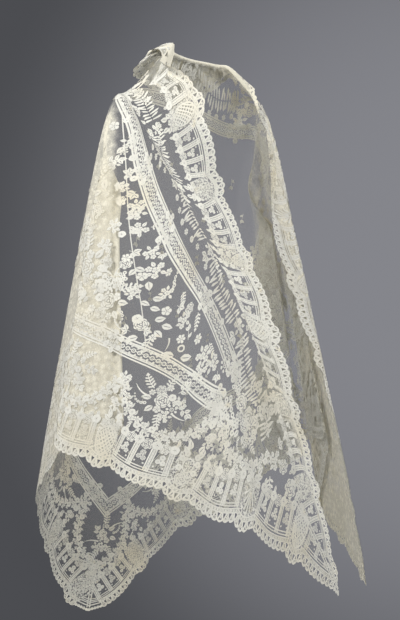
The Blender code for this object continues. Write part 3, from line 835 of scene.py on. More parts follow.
def add_edging(edge):
    """The outer scallops, their V-shaped bars with open triangles between, and the braid."""
    count, length = repeats_on(edge)
    scallop = length / SCALLOPS
    for k in range(SCALLOPS * count):
        u = np.linspace(0.0, 1.0, 7)
        rise = -SCALLOP_RISE * np.sin(np.pi * u) ** 0.75
        outer = border_points(edge, scallop * (k + u), rise)
        inner = border_points(edge, scallop * (k + u), rise + RIM)
        edging.lay(strip(outer, inner))
        for side in (-1.0, 1.0):
            w = np.linspace(0.0, 1.0, 4)
            start = scallop * (k + 0.5 + side * BAR_OUTER)
            end = scallop * (k + 0.5 + side * BAR_INNER)
            bar = border_points(edge, start + (end - start) * w, BAR_TOP + (BRAID[0] - BAR_TRIM) * w)
            edging.lay(ribbon(bar, BAR_WIDTH))
        shares, depths = np.array(WEB).T
        edging.lay(fan(border_points(edge, scallop * (k + shares), depths), WEB_DENSE))
        edging.lay(placed(dot(TIP_SIZE, 5), border_points(edge, scallop * (k + 0.5), TIP_DEPTH)))
    total = length * count
    along = np.linspace(0.0, total, 26 * count + 1)
    for depth, width in EDGE_LINES[:2]:
        edging.lay(ribbon(border_points(edge, along, depth, LINE_FOLLOW), width))
    upper, lower = (border_points(edge, along, depth, LINE_FOLLOW) for depth in BRAID)
    edging.lay(strip(upper, lower, BRAID_FILL))
    along = np.arange(SPECKLE_START, total, SPECKLE_STEP)
    for k, place in enumerate(border_points(edge, along, 0.5 * sum(BRAID), LINE_FOLLOW)):
        edging.lay(placed(dot(SPECKLE_SIZE, 5), place, turn=37.0 * k))


def add_panel(edge, centre, variant):
    """Three blossoms and two dots in one panel of a ladder."""
    kind = PANEL_KINDS[variant % 3]
    for spot in PANEL_BLOSSOMS:
        at = border_points(edge, centre + spot.along, spot.depth, PANEL_FOLLOW)
        border_flowers.stamp(kind, *at, spot.size, RANDOM.uniform(0, 360))
    for spot in PANEL_DOTS:
        at = border_points(edge, centre + spot.along, spot.depth, PANEL_FOLLOW)
        border_flowers.stamp("dot", *at, spot.size)


def add_lobe(edge, start, length, variant):
    """The double line and the ladder of panels under one lobe."""
    lobe = LOBE_SHARE * length
    turn = edge_turn(edge)
    along = start + np.linspace(0.0, lobe, 16)
    for depth, width in EDGE_LINES[2:]:
        bars.lay(ribbon(border_points(edge, along, depth, 0.8), width))
    rungs = start + lobe * np.linspace(PANEL_ROOM, 1.0 - PANEL_ROOM, PANELS + 1)
    middle = start + 0.5 * lobe
    for rung in rungs:
        w = np.linspace(0.0, 1.0, 6)
        depth = RUNG_FROM + (RUNG_TO - RUNG_FROM) * w
        centre = rung + (middle - rung) * RUNG_LEAN * w
        for line in RUNG_LINES:
            path = border_points(edge, centre + line.offset, depth, 0.5)
            bars.lay(ribbon(path, line.width, line.dense))
    for k in range(PANELS):
        add_panel(edge, 0.5 * (rungs[k] + rungs[k + 1]), k + variant)
    knobs = 2 * PANELS + 1
    for k in range(knobs):
        knob = KNOBS[k % 2]
        centre = rungs[0] + (rungs[-1] - rungs[0]) * k / (knobs - 1)
        centre += (middle - centre) * KNOB_LEAN
        depth = knob.depth - KNOB_RISE * math.sin(math.pi * k / (knobs - 1))
        place = border_points(edge, centre, depth, 0.0)
        border_flowers.stamp(knob.kind, *place, knob.size, 40.0 * k)
        if k % 2 == 0:
            place = border_points(edge, centre, depth + 0.007, 0.0)
            border_flowers.stamp("leaf", *place, KNOB_LEAF, turn + 90.0 + RANDOM.uniform(-30, 30))


Around = namedtuple("Around", "kind size spin spots")
AROUND = (                  # small flowers round each kind of medallion, at (x, depth)
    Around("round", 0.0072, 900, (
        (-0.017, 0.060),
        (0.017, 0.060),
        (-0.018, 0.080),
        (0.018, 0.080),
        (-0.012, 0.095),
        (0.012, 0.095),
    )),
    Around("rose", 0.0105, 0, ((-0.016, 0.089), (0.0, 0.095), (0.016, 0.089))),
    Around("round", 0.0080, 700, ((-0.018, 0.086), (0.018, 0.086), (-0.009, 0.099), (0.010, 0.099))),
)
MEDALLION_HALF = 0.42       # share of a medallion's room
GROUND_HALF = 0.55
GRID_MIDDLE = 0.055
GRID_DEEP = 0.030
GRID_SLOPE = 1.15
GRID_BARS = np.arange(-0.0525, 0.053, 0.0105)
SHELL_RIBS = 7
SHELL_TURN = 19.0           # degrees between ribs
SHELL_DEPTH = 0.077
Under = namedtuple("Under", "depth size lean")
UNDER_LEAVES = (Under(0.098, 0.018, 30.0), Under(0.106, 0.020, 68.0))


def rose_medallion(at, oval, turn):
    medallions.stamp("rose", *at(0.0, 0.043), 0.0160, turn)
    medallions.lay(ribbon(oval(0.073, 0.028, 0.50), 0.0030, closed=True))
    medallions.stamp("open_rose", *at(0.0, 0.073), 0.0078, turn + 20)


def grid_medallion(at, oval, half):
    medallions.lay(ribbon(oval(GRID_MIDDLE, GRID_DEEP), 0.0034, closed=True))
    x = np.linspace(-0.04, 0.04, 31)
    for lean in (-GRID_SLOPE, GRID_SLOPE):
        for offset in GRID_BARS:
            y = lean * x + offset
            kept = (x / half) ** 2 + (y / GRID_DEEP) ** 2 < 1.0
            if kept.sum() >= 3:
                medallions.lay(ribbon(at(x[kept], GRID_MIDDLE + y[kept]), 0.0030))


def shell_medallion(at, turn):
    for k in range(SHELL_RIBS):
        from_middle = k - SHELL_RIBS // 2
        angle = math.radians(SHELL_TURN * from_middle)
        r = np.linspace(0.010, 0.050 - 0.0035 * abs(from_middle), 5)
        rib = at(r * math.sin(angle) * 0.60, SHELL_DEPTH - r * math.cos(angle))
        medallions.lay(ribbon(rib, 0.0022 + 0.075 * (r - 0.010)))
    medallions.stamp("rose", *at(0.0, 0.082), 0.0135, turn)


def add_medallion(edge, start, length, variant):
    """One medallion: roses, an open grid or a shell, with leaves round it."""
    width = (1.0 - LOBE_SHARE) * length
    centre = start + LOBE_SHARE * length + 0.5 * width
    turn = edge_turn(edge)
    half = MEDALLION_HALF * width

    def at(x, depth):
        depth = RUNG_FROM + MEDALLION_DEEP * (np.asarray(depth, float) - RUNG_FROM)
        follow = LINE_FOLLOW - 0.6 * np.clip((depth - 0.030) / 0.050, 0.0, 1.0)
        return border_points(edge, centre + np.asarray(x, float), depth, follow)

    def oval(middle, half_depth, share=1.0):
        turned = np.radians(np.linspace(0.0, 360.0, 20, endpoint=False))
        return at(share * half * np.cos(turned), middle + half_depth * share * np.sin(turned))

    across = np.linspace(-GROUND_HALF, GROUND_HALF, 8) * width
    level = np.ones(len(across))
    medallions.lay(strip(at(across, 0.0235 * level), at(0.86 * across, 0.0920 * level), GROUND))
    if variant == 0:
        rose_medallion(at, oval, turn)
    elif variant == 1:
        grid_medallion(at, oval, half)
    else:
        shell_medallion(at, turn)
    around = AROUND[variant]
    for x, depth in around.spots:
        medallions.stamp(around.kind, *at(x, depth), around.size, turn + around.spin * x)
    for side in (-1.0, 1.0):
        for under in UNDER_LEAVES:
            lean = side * (90.0 - under.lean)
            medallions.stamp("leaf", *at(side * 0.010, under.depth), under.size, turn + 90.0 - lean)


CORNER_RING = ring(0.0032, 0.0022, 8)
CORNER_RINGS = 0.0085       # from one small ring to the next along a corner
RIB_HALF = 0.0036           # from the middle of a corner's rib to its lines
RIB_TO = 0.095              # depth where the rib ends
RIB_DOTS = 0.0115


def add_corner(edge):
    """The point of the cloth: the edging's lines carried round it and a rib along its middle."""
    corner = np.array(edge.start)
    bisector = corner_bisector(edge)
    before = EDGES[EDGES.index(edge) - 1]
    sine = float(np.dot(bisector, np.array(edge.inward)))
    half = math.asin(sine)

    def line(depth, away):
        a = edge_points(before, before.length - CORNER_ROOM, EDGE_ROOM + depth)
        b = edge_points(edge, CORNER_ROOM, EDGE_ROOM + depth)
        u = np.linspace(0.0, 1.0, 7)[:, None]
        top = corner + bisector * away
        return np.vstack([a + (top - a) * u, (top + (b - top) * u)[1:]])

    outer = line(0.0, CORNER_ROUND)
    edging.lay(strip(outer, line(RIM, CORNER_ROUND + 1.3 * RIM)))
    total, place_at = measured(outer)
    for at in np.arange(0.004, total, CORNER_RINGS):
        edging.lay(placed(CORNER_RING, place_at(at) + 0.0030 * bisector))
    for depth, width in EDGE_LINES:
        if (EDGE_ROOM + depth) / math.tan(half) < CORNER_ROOM:
            away = max((EDGE_ROOM + depth) / sine, CORNER_ROUND + depth)
            edging.lay(ribbon(line(depth, away), width))
    rib_end = (EDGE_ROOM + RIB_TO) / sine
    for offset in (-RIB_HALF, RIB_HALF):
        across = left_of(bisector) * offset
        u = np.linspace(CORNER_ROUND + 0.010, rib_end, 12)[:, None]
        bars.lay(ribbon(corner + bisector * u + across, 0.0034))
    for k, at in enumerate(np.arange(CORNER_ROUND + 0.022, rib_end, RIB_DOTS)):
        bars.lay(placed(dot(0.0026, 5, 0.9), corner + bisector * at, turn=20.0 * k))
    border_flowers.stamp("rose", *(corner + bisector * (EDGE_ROOM + 0.105) / sine), 0.020)


def add_border(edge):
    """One edge's whole border, cut off at its corners' mitres."""
    count, length = repeats_on(edge)
    layers = (edging, bars, medallions, border_flowers)
    first = [len(lace.parts) for lace in layers]
    add_edging(edge)
    for k in range(count):
        add_lobe(edge, length * k, length, k % 3)
        add_medallion(edge, length * k, length, (k + 1) % 3)
    for lace, start in zip(layers, first):
        lace.mitre(edge, start)


# The frame band: where its middle lies inside the edge, and half its width
Run = namedtuple("Run", "along depth half")
FRONT_BAND = (
    Run(0.000, 0.225, 0.0150),
    Run(0.275, 0.223, 0.0150),
    Run(0.400, 0.241, 0.0155),
    Run(0.500, 0.247, 0.0160),
    Run(0.600, 0.247, 0.0170),
    Run(0.700, 0.237, 0.0185),
    Run(0.780, 0.222, 0.0200),
    Run(0.870, 0.210, 0.0205),
    Run(0.960, 0.202, 0.0205),
)
HEM_BAND = (
    Run(0.575, 0.214, 0.0205),
    Run(0.600, 0.216, 0.0205),
    Run(0.650, 0.2305, 0.0205),
    Run(0.694, 0.2475, 0.0205),
    Run(0.755, 0.2595, 0.0205),
    Run(0.840, 0.267, 0.0205),
    Run(0.983, 0.276, 0.0200),
    Run(1.200, 0.262, 0.0190),
    Run(1.600, 0.240, 0.0180),
    Run(2.200, 0.235, 0.0180),
)
BAND_STEP = 0.0126
BAND_LINES = ((0.92, 0.0031), (0.66, 0.0023))    # share of the half width, width of the line
CLUSTERS = {
    "front": (0.0, 0.20, 0.416, 0.575, 0.785, 0.955),
    "hem": (0.595, 0.86, 1.12, 1.38, 1.64, 1.90),
}
CLUSTER_ROOM = 0.016


def band_rows(edge):
    """The band's table for an edge, its clusters' name, and how the table counts along the edge."""
    if edge.name == "front":
        return FRONT_BAND, "front", lambda along: np.abs(along - 0.5 * edge.length)
    if edge.name == "near":
        return HEM_BAND, "hem", lambda along: along
    return HEM_BAND, "hem", lambda along: edge.length - along


def add_band(edge):
    """Lines on both sides, a row of rings between them, and clusters that break the row."""
    rows, name, counted = band_rows(edge)
    turn = edge_turn(edge)
    first = len(band.parts)
    if edge.name == "front":
        start, end = 0.5 * edge.length - rows[-1].along, 0.5 * edge.length + rows[-1].along
    elif edge.name == "near":
        start, end = rows[0].along, edge.length
    else:
        start, end = 0.0, edge.length - rows[0].along

    def at(along, across):
        place = counted(np.asarray(along, float))
        depth = smooth_curve(place, rows, "along", "depth")
        return edge_points(edge, along, depth + across * smooth_curve(place, rows, "along", "half"))

    along = np.linspace(start, end, round((end - start) / 0.008))
    for side in (-1.0, 1.0):
        for share, width in BAND_LINES:
            band.lay(ribbon(at(along, side * share), width))
        band.lay(strip(at(along, side * 0.62), at(along, side * 0.40), 0.80))
    count = round((end - start) / BAND_STEP)
    step = (end - start) / count
    for k in range(count):
        centre = start + step * (k + 0.5)
        if np.min(np.abs(np.array(CLUSTERS[name]) - counted(centre))) < CLUSTER_ROOM:
            continue
        band.stamp("ring", *at(centre, 0.0), 0.0052)
        band.lay(placed(dot(0.0014, 4), at(centre, 0.0)))
        for side in (-1.0, 1.0):
            band.lay(placed(dot(0.0027, 4, 0.85), at(centre + 0.5 * step, side * 0.34), turn=turn))
        band.lay(placed(dot(0.0017, 4), at(centre + 0.5 * step, 0.0), turn=turn))
    for place in CLUSTERS[name]:
        for centre in start + np.arange(0.0, end - start, 0.001):
            if abs(counted(centre) - place) < 0.0005:
                add_band_cluster(at(centre, 0.0), turn)
    band.mitre(edge, first)


def add_band_cluster(place, turn):
    """A rose with an open rose beside it and six small flowers round it."""
    border_flowers.stamp("rose", *place, 0.0150, turn)
    border_flowers.stamp("open_rose", *(place + 0.023 * heading(turn)), 0.0115, turn)
    for k in range(6):
        beside = place + 0.0205 * heading(60.0 * k + 30.0 + turn)
        border_flowers.stamp("round", *beside, 0.0070, 50.0 * k)


# Between the border and the band, by depth inside the straight edge
FERN_DEPTH = 0.160
FERN_SWING = 0.010
FERN_STEP = 0.0082
FERN_LEAN = -8.0            # degrees that the strokes lean towards the tip
FERN_WIDTH = 0.0054
FERN_ROOM = 0.42            # left free at both ends of the edge
FERN_GAP = 0.11             # share of a repeat left free on both sides of a medallion
FERN_SIDES = ((-1.0, 0.0285), (1.0, 0.0300))     # side and reach of its strokes
MEDALLION_AT = 0.85         # share of a repeat
BY_ROOM = 0.40              # left free of these groups at both ends of the edge
Beside = namedtuple("Beside", "kind along depth size turn")
BY_MEDALLION = (
    Beside("trio", 0.006, 0.172, 0.0200, 90.0),
    Beside("leaf", -0.014, 0.136, 0.0190, 60.0),
    Beside("comb", 0.020, 0.150, 0.0300, 20.0),
)
SWAG_FIRST = 0.472
SWAG_EVERY = 0.222
SWAGS = 8
SWAG_LOW = 0.118
SWAG_RISE = 0.078
SWAG_SHARE = 0.93           # of the room from one swag to the next
SWAG_STEP = 0.0098
SWAG_BOUQUET = (0.018, 0.186)       # along from the swag's middle, and depth
SWAG_KINDS = ("round", "star", "flower")
DROP_SWAY = 0.006
DROPS = (                   # between two swags
    Beside("posy", 0.0, 0.204, 0.0130, -90.0),
    Beside("leaf", 0.0, 0.186, 0.0180, -90.0),
    Beside("round", 0.0, 0.172, 0.0085, -90.0),
    Beside("trio", 0.0, 0.158, 0.0165, -90.0),
    Beside("posy", 0.0, 0.142, 0.0120, -90.0),
    Beside("leaf", 0.0, 0.126, 0.0170, -90.0),
)
DROP_TWIGS = (
    Beside("twig3", -0.030, 0.124, 0.0240, -117.0),
    Beside("twig3", 0.030, 0.124, 0.0240, -63.0),
    Beside("twig3", -0.018, 0.136, 0.0240, -106.2),
)


def stamp_beside(rows, edge, along, sway=0.0):
    """The motifs of a table, placed beside a point of an edge."""
    for row in rows:
        by = RANDOM.uniform(-sway, sway) if sway else row.along
        place = edge_points(edge, along + by, row.depth)
        garlands.stamp(row.kind, *place, row.size, edge_turn(edge) + row.turn)


def add_ferns(edge):
    """Rows of short strokes beside the front band, broken by a few flowers at each medallion."""
    count, length = repeats_on(edge)
    turn = edge_turn(edge)
    first = len(garlands.parts)
    k = 0
    for along in np.arange(FERN_ROOM, edge.length - FERN_ROOM, FERN_STEP):
        share = ((along - CORNER_ROOM) / length) % 1.0
        swing = math.sin(2.0 * math.pi * (share - 0.10))
        to_medallion = abs(((share - MEDALLION_AT + 0.5) % 1.0) - 0.5)
        k += 1
        if to_medallion < FERN_GAP:
            continue
        depth = FERN_DEPTH + FERN_SWING * swing
        ahead = -1.0 if along < 0.5 * edge.length else 1.0
        for side, reach in FERN_SIDES:
            start = edge_points(edge, along, depth + side * 0.0014)
            toward = turn + side * (90.0 - ahead * FERN_LEAN) + RANDOM.uniform(-13, 13)
            garlands.lay(stroke(start, toward, reach * RANDOM.uniform(0.60, 1.05), FERN_WIDTH))
        if k % 3 == 0:
            place = edge_points(edge, along, depth + 0.0360)
            garlands.stamp("round" if k % 2 else "star", *place, 0.0068, 31.0 * k)
    for k in range(count):
        along = CORNER_ROOM + length * (k + MEDALLION_AT)
        if BY_ROOM < along < edge.length - BY_ROOM:
            garlands.stamp("posy", *edge_points(edge, along, 0.150), 0.0150, 40.0 * k)
            stamp_beside(BY_MEDALLION, edge, along)
    garlands.mitre(edge, first)


def add_swags(edge):
    """Swags of small flowers along a hem side, a bouquet over each, and drops between them."""
    turn = edge_turn(edge)
    first = [len(garlands.parts), len(field.parts)]
    for k in range(SWAGS):
        centre = SWAG_FIRST + SWAG_EVERY * k
        if edge.name == "far":
            centre = edge.length - centre
        u = np.linspace(-0.5, 0.5, 60)
        depth = SWAG_LOW + SWAG_RISE * np.abs(2.0 * u) ** 2.6
        path = edge_points(edge, centre + SWAG_SHARE * SWAG_EVERY * u, depth)
        total, place_at = measured(path)
        for n, at in enumerate(np.arange(0.0, total, SWAG_STEP)):
            place = place_at(at)
            between = place_at(at + 0.002) - place_at(at - 0.002)
            ahead = between / max(np.linalg.norm(between), 1e-9)
            side = 1.0 if n % 2 else -1.0
            across = side * left_of(ahead)
            garlands.stamp(SWAG_KINDS[n % 3], *(place + 0.0040 * across), 0.0076, 53.0 * n)
            garlands.stamp("slim", *(place - 0.0050 * across), 0.0135, turn_of(ahead) - side * 62.0)
            if n % 2:
                garlands.stamp("dot", *(place - 0.0120 * across), 0.0021)
        middle = edge_points(edge, centre + SWAG_BOUQUET[0], SWAG_BOUQUET[1])
        add_bouquet(Group("bouquet", *middle, 0.86, turn + 70.0 + 40.0 * (k % 3)), False)
        drop = centre + 0.5 * SWAG_EVERY
        stamp_beside(DROPS, edge, drop, DROP_SWAY)
        stamp_beside(DROP_TWIGS, edge, drop)
    for lace, start in zip((garlands, field), first):
        lace.mitre(edge, start)


# Bouquets: what lies how far from the middle, in which direction, how large and leaning where
Spray = namedtuple("Spray", "kind away around size lean")
BOUQUET = (
    Spray("rose", 0.000, 0, 0.0190, 0),
    Spray("open_rose", 0.029, 95, 0.0140, 30),
    Spray("rose", 0.028, -50, 0.0130, 10),
    Spray("round", 0.024, 30, 0.0095, 0),
    Spray("flower", 0.025, 165, 0.0095, 0),
    Spray("posy", 0.038, 60, 0.0140, 0),
    Spray("star", 0.036, -15, 0.0085, 0),
    Spray("star", 0.030, -90, 0.0080, 0),
    Spray("posy", 0.040, 130, 0.0130, 0),
    Spray("beads", 0.036, -140, 0.0150, -140),
    Spray("twig", 0.036, 75, 0.0420, 75),
    Spray("twig", 0.038, 20, 0.0400, 12),
    Spray("comb", 0.034, -75, 0.0380, -80),
    Spray("comb", 0.036, 150, 0.0360, 155),
    Spray("comb", 0.036, -25, 0.0350, -22),
    Spray("leaf", 0.026, -165, 0.0220, -168),
    Spray("leaf", 0.026, 60, 0.0210, 50),
    Spray("leaf", 0.024, -115, 0.0220, -122),
    Spray("blade", 0.040, 105, 0.0360, 100),
    Spray("blade", 0.040, -110, 0.0340, -105),
)

# Groups of the field in the half that the photo shows best; the other half mirrors them
Group = namedtuple("Group", "kind s t size turn")
FIELD = (
    Group("rose", 0.225, 0.175, 0.0170, 0),
    Group("open_rose", 0.255, 0.165, 0.0140, 0),
    Group("posy", 0.205, 0.200, 0.0150, 30),
    Group("trio", 0.270, 0.190, 0.0190, 60),
    Group("posy", 0.180, 0.165, 0.0150, 100),
    Group("leaf", 0.235, 0.205, 0.0200, 140),
    Group("posy", 0.365, 0.284, 0.0110, 0),
    Group("trio", 0.505, 0.288, 0.0140, 160),
    Group("rose", 0.455, 0.296, 0.0100, 0),
    Group("open_rose", 0.345, 0.260, 0.0085, 0),
    Group("trio", 0.400, 0.266, 0.0140, 200),
    Group("posy", 0.425, 0.286, 0.0110, 20),
    Group("trio", 0.450, 0.272, 0.0150, 40),
    Group("posy", 0.480, 0.277, 0.0130, 0),
    Group("posy", 0.535, 0.288, 0.0140, 70),
    Group("comb", 0.540, 0.270, 0.0260, -60),
    Group("beads", 0.575, 0.266, 0.0160, 10),
    Group("posy", 0.595, 0.286, 0.0130, 120),
    Group("trio", 0.610, 0.270, 0.0130, 30),
    Group("rose", 0.600, 0.334, 0.0130, 0),
    Group("leaf", 0.620, 0.322, 0.0180, 60),
    Group("posy", 0.636, 0.292, 0.0160, 10),
    Group("comb", 0.625, 0.352, 0.0300, 70),
    Group("star", 0.655, 0.274, 0.0080, 0),
    Group("leaf", 0.655, 0.312, 0.0210, 15),
    Group("beads", 0.690, 0.274, 0.0150, 190),
    Group("posy", 0.694, 0.290, 0.0120, 40),
    Group("comb", 0.720, 0.264, 0.0240, 10),
    Group("leaf", 0.694, 0.318, 0.0200, -60),
    Group("leaf", 0.712, 0.328, 0.0190, -50),
    Group("flower", 0.731, 0.304, 0.0105, 0),
    Group("trio", 0.738, 0.280, 0.0160, -30),
    Group("rose", 0.764, 0.264, 0.0110, 0),
    Group("posy", 0.772, 0.280, 0.0130, 30),
    Group("comb", 0.790, 0.250, 0.0280, 25),
    Group("rose", 0.742, 0.354, 0.0145, 0),
    Group("leaf", 0.742, 0.330, 0.0210, -80),
    Group("leaf", 0.758, 0.322, 0.0220, -50),
    Group("leaf", 0.764, 0.337, 0.0210, -20),
    Group("trio", 0.744, 0.380, 0.0170, 130),
    Group("leaf", 0.766, 0.368, 0.0230, 100),
    Group("comb", 0.775, 0.348, 0.0340, 30),
    Group("star", 0.803, 0.298, 0.0100, 0),
    Group("blade", 0.790, 0.318, 0.0260, 10),
    Group("twig3", 0.815, 0.286, 0.0280, 200),
    Group("star", 0.834, 0.268, 0.0095, 0),
    Group("leaf", 0.830, 0.322, 0.0250, 120),
    Group("leaf", 0.840, 0.312, 0.0250, -60),
    Group("ring", 0.822, 0.304, 0.0085, 0),
    Group("posy", 0.872, 0.270, 0.0150, 0),
    Group("comb", 0.866, 0.248, 0.0280, 10),
    Group("posy", 0.896, 0.284, 0.0140, 60),
    Group("posy", 0.905, 0.256, 0.0150, 10),
    Group("trio", 0.935, 0.252, 0.0160, 40),
    Group("open_rose", 0.935, 0.226, 0.0150, 0),
    Group("rose", 0.962, 0.196, 0.0195, 0),
    Group("rose", 1.026, 0.206, 0.0190, 0),
    Group("cluster", 0.990, 0.204, 0.0190, 0),
    Group("cluster", 1.010, 0.250, 0.0230, 0),
    Group("cluster", 1.046, 0.250, 0.0240, 40),
    Group("rose", 1.066, 0.198, 0.0205, 0),
    Group("open_rose", 1.066, 0.162, 0.0180, 0),
    Group("comb", 1.012, 0.172, 0.0380, -50),
    Group("trio", 1.056, 0.140, 0.0230, -70),
    Group("trio", 1.082, 0.136, 0.0230, -40),
    Group("beads", 1.022, 0.150, 0.0180, -60),
    Group("leaf", 1.090, 0.190, 0.0230, 20),
    Group("comb", 1.100, 0.208, 0.0300, 60),
    Group("comb", 1.200, 0.175, 0.0440, 20),
    Group("posy", 1.180, 0.150, 0.0160, 0),
    Group("rose", 1.205, 0.130, 0.0150, 0),
    Group("trio", 1.160, 0.130, 0.0180, -90),
)


def add_bouquet(group, mirrored):
    """All flowers and leaves of one bouquet, each a little nearer or farther by chance."""
    for spray in BOUQUET:
        away = spray.away * group.size * RANDOM.uniform(0.92, 1.10)
        place = np.array((group.s, group.t)) + away * heading(spray.around + group.turn)
        field.stamp(spray.kind, *place, spray.size * group.size, spray.lean + group.turn, mirrored)


STEM_WIDTH = 0.0017
STEM_STEP = 0.026
Beading = namedtuple("Beading", "kind size on_stem")
STEM_KINDS = (
    Beading("leaf", 0.0195, True),
    Beading("flower", 0.0092, False),
    Beading("posy", 0.0130, False),
    Beading("leaf", 0.0195, True),
    Beading("round", 0.0092, False),
    Beading("trio", 0.0150, True),
    Beading("star", 0.0092, False),
)


def smooth_path(points):
    """A smooth curve through a few points."""
    points = np.array(points)
    u = np.linspace(0.0, len(points) - 1.0, 12 * len(points))
    k = np.clip(u.astype(int), 0, len(points) - 2)
    f = (u - k)[:, None]
    padded = np.vstack([2 * points[0] - points[1], points, 2 * points[-1] - points[-2]])
    a, b, c, d = (padded[k + j] for j in range(4))
    bend = (2 * a - 5 * b + 4 * c - d) * f ** 2 + (3 * b - a - 3 * c + d) * f ** 3
    return 0.5 * (2 * b + (c - a) * f + bend)


def add_stem(points):
    """A long curved stem with small leaves on it and flowers beside it, and its mirror image."""
    path = smooth_path(points)
    field.lay(ribbon(path, STEM_WIDTH), True)
    total, place_at = measured(path)
    for n, at in enumerate(np.arange(0.5 * STEM_STEP, total, STEM_STEP)):
        at += RANDOM.uniform(-0.4, 0.4) * STEM_STEP
        place = place_at(at)
        turn = turn_of(place_at(at + 0.004) - place)
        side = 1.0 if (n % 5) % 2 else -1.0
        beside = place + RANDOM.uniform(0.008, 0.015) * heading(turn + 90.0 * side)
        row = STEM_KINDS[n % len(STEM_KINDS)]
        if row.on_stem:
            size = row.size * RANDOM.uniform(0.8, 1.2)
            field.stamp(row.kind, *place, size, turn + side * RANDOM.uniform(35, 70), True)
        else:
            field.stamp(row.kind, *beside, row.size * RANDOM.uniform(0.85, 1.15), 40.0 * n, True)


STEMS = (
    ((0.255, 0.235), (0.413, 0.274), (0.551, 0.308), (0.643, 0.328), (0.711, 0.342), (0.788, 0.361)),
    ((0.360, 0.460), (0.470, 0.500), (0.620, 0.520), (0.730, 0.500)),
)
BOUQUETS = (
    Group("bouquet", 0.560, 0.420, 1.15, 60),
    Group("bouquet", 0.660, 0.400, 1.05, 110),
    Group("bouquet", 0.400, 0.380, 1.10, 90),
    Group("bouquet", 0.500, 0.600, 1.20, 135),
    Group("bouquet", 0.330, 0.540, 1.10, 100),
    Group("bouquet", 0.170, 1.030, 0.95, 90),
)
SCATTER_KINDS = (           # kind and size
    ("posy", 0.0150),
    ("trio", 0.0190),
    ("comb", 0.0300),
    ("rose", 0.0125),
    ("beads", 0.0160),
    ("twig", 0.0330),
    ("posy", 0.0140),
    ("leaf", 0.0220),
    ("open_rose", 0.0120),
    ("cluster", 0.0150),
    ("twig3", 0.0280),
)
PLAIN_KIND = ("twig3", 0.0260)
BOUQUET_ROOM = 0.040
SCATTER_GAP = 0.037
PLAIN_GAP = 0.078           # on the back, which the photo hides
PLAIN_FROM = 66.0           # degrees round the near shoulder where the plain back starts
SCATTER_TRIES = 9000
SCATTER_FROM = 0.290        # depth inside the edges where the scattered groups start
SCATTER_S = (0.02, 0.90)
SCATTER_T = (0.24, 1.28)
CHARTED_S = (0.30, 1.10)    # the part of the field that the tables fill
CHARTED_T = (0.262, 0.407)  # how deep it reaches where it starts and ends to deepen
CHARTED_FROM = (0.32, 0.82)


def charted(s, t):
    """Whether a place lies in the part of the field that the tables fill."""
    return CHARTED_S[0] < s < CHARTED_S[1] and t < np.interp(s, CHARTED_FROM, CHARTED_T)


def add_scatter():
    """Small groups over the rest of the field, none closer together than a set gap."""
    taken = [(group.s, group.t, BOUQUET_ROOM * group.size) for group in BOUQUETS]
    count = 0
    tries_s = RANDOM.uniform(*SCATTER_S, SCATTER_TRIES)
    tries_t = RANDOM.uniform(*SCATTER_T, SCATTER_TRIES)
    for s, t in zip(tries_s, tries_t):
        if depth_inside(np.array((s, t))) < SCATTER_FROM or charted(s, t):
            continue
        plain = math.degrees(math.atan2(t - NEAR.t, s - NEAR.s)) > PLAIN_FROM
        gap = PLAIN_GAP if plain else SCATTER_GAP
        if any((s - a) ** 2 + (t - b) ** 2 < max(gap, room) ** 2 for a, b, room in taken):
            continue
        taken.append((s, t, gap))
        kind, size = PLAIN_KIND if plain else SCATTER_KINDS[count % len(SCATTER_KINDS)]
        turn = 90.0 if plain else RANDOM.uniform(0, 360)
        field.stamp(kind, s, t, size * RANDOM.uniform(0.9, 1.15), turn, True)
        count += 1


def cloth_outline():
    """The cloth's whole scalloped outline."""
    outline = []
    for edge in EDGES:
        outline.append(np.array([np.array(edge.start) + CORNER_ROUND * corner_bisector(edge)]))
        count, length = repeats_on(edge)
        scallop = length / SCALLOPS
        along = scallop * np.arange(6 * SCALLOPS * count + 1) / 6.0
        rise = -SCALLOP_RISE * np.abs(np.sin(np.pi * along / scallop)) ** 0.75
        outline.append(border_points(edge, along, rise))
    return np.concatenate(outline)


def open_triangles():
    """The open triangles between the scallops' bars."""
    result = []
    for edge in EDGES:
        count, length = repeats_on(edge)
        scallop = length / SCALLOPS
        half = 0.5 * EYELET_SIZE - EYELET_TRIM
        for k in range(1, SCALLOPS * count):
            along = scallop * k + np.array((0.0, -half, half))
            depth = lobes((scallop * k / length) % 1.0) + (EYELET_INSET + np.array((-half, half, half)))
            result.append(edge_points(edge, CORNER_ROOM + along, depth))
    return result


NET_STEP = 0.011
NET_ROW = 0.866             # from row to row, as a share of the step
FOLD_LINE_REACH = (0.14, 1.7)
FOLD_LINE_STEP = 0.010
BESIDE_FOLD = (-0.012, -0.008, -0.004, 0.0, 0.004, 0.008, 0.012)
COLLAR_REACH = (-0.33, 0.33)
COLLAR_STEP = 0.008
BESIDE_COLLAR = (-0.018, -0.012, -0.006, 0.0, 0.006, 0.012, 0.018)
POINT_GAP = 0.0026
EYELET_TRIM = 0.0004
EYELETS_TO = 0.05           # depth inside the edges within which the open triangles lie
WELD = 0.0003

# Where layers lie close over each other, and how much thicker the net looks there
Cover = namedtuple("Cover", "side angle to_angle soft more reach")
COVERS = (
    Cover("near", 20.0, 33.0, 4.5, 0.86, 9.0),
    Cover("near", 31.0, 66.0, 2.0, 1.45, 9.0),
    Cover("near", 65.0, 94.0, 12.0, 0.80, 0.80),
    Cover("far", -16.0, 12.0, 6.0, 1.00, 9.0),
    Cover("far", 10.0, 78.0, 6.0, 0.45, 0.42),
)
COVER_START = 0.02
COVER_SOFT = 0.06
REACH_SOFT = 0.20
COLLAR_COVER = 2.00
COLLAR_SOFT = 0.02
COLLAR_HALF = 0.31


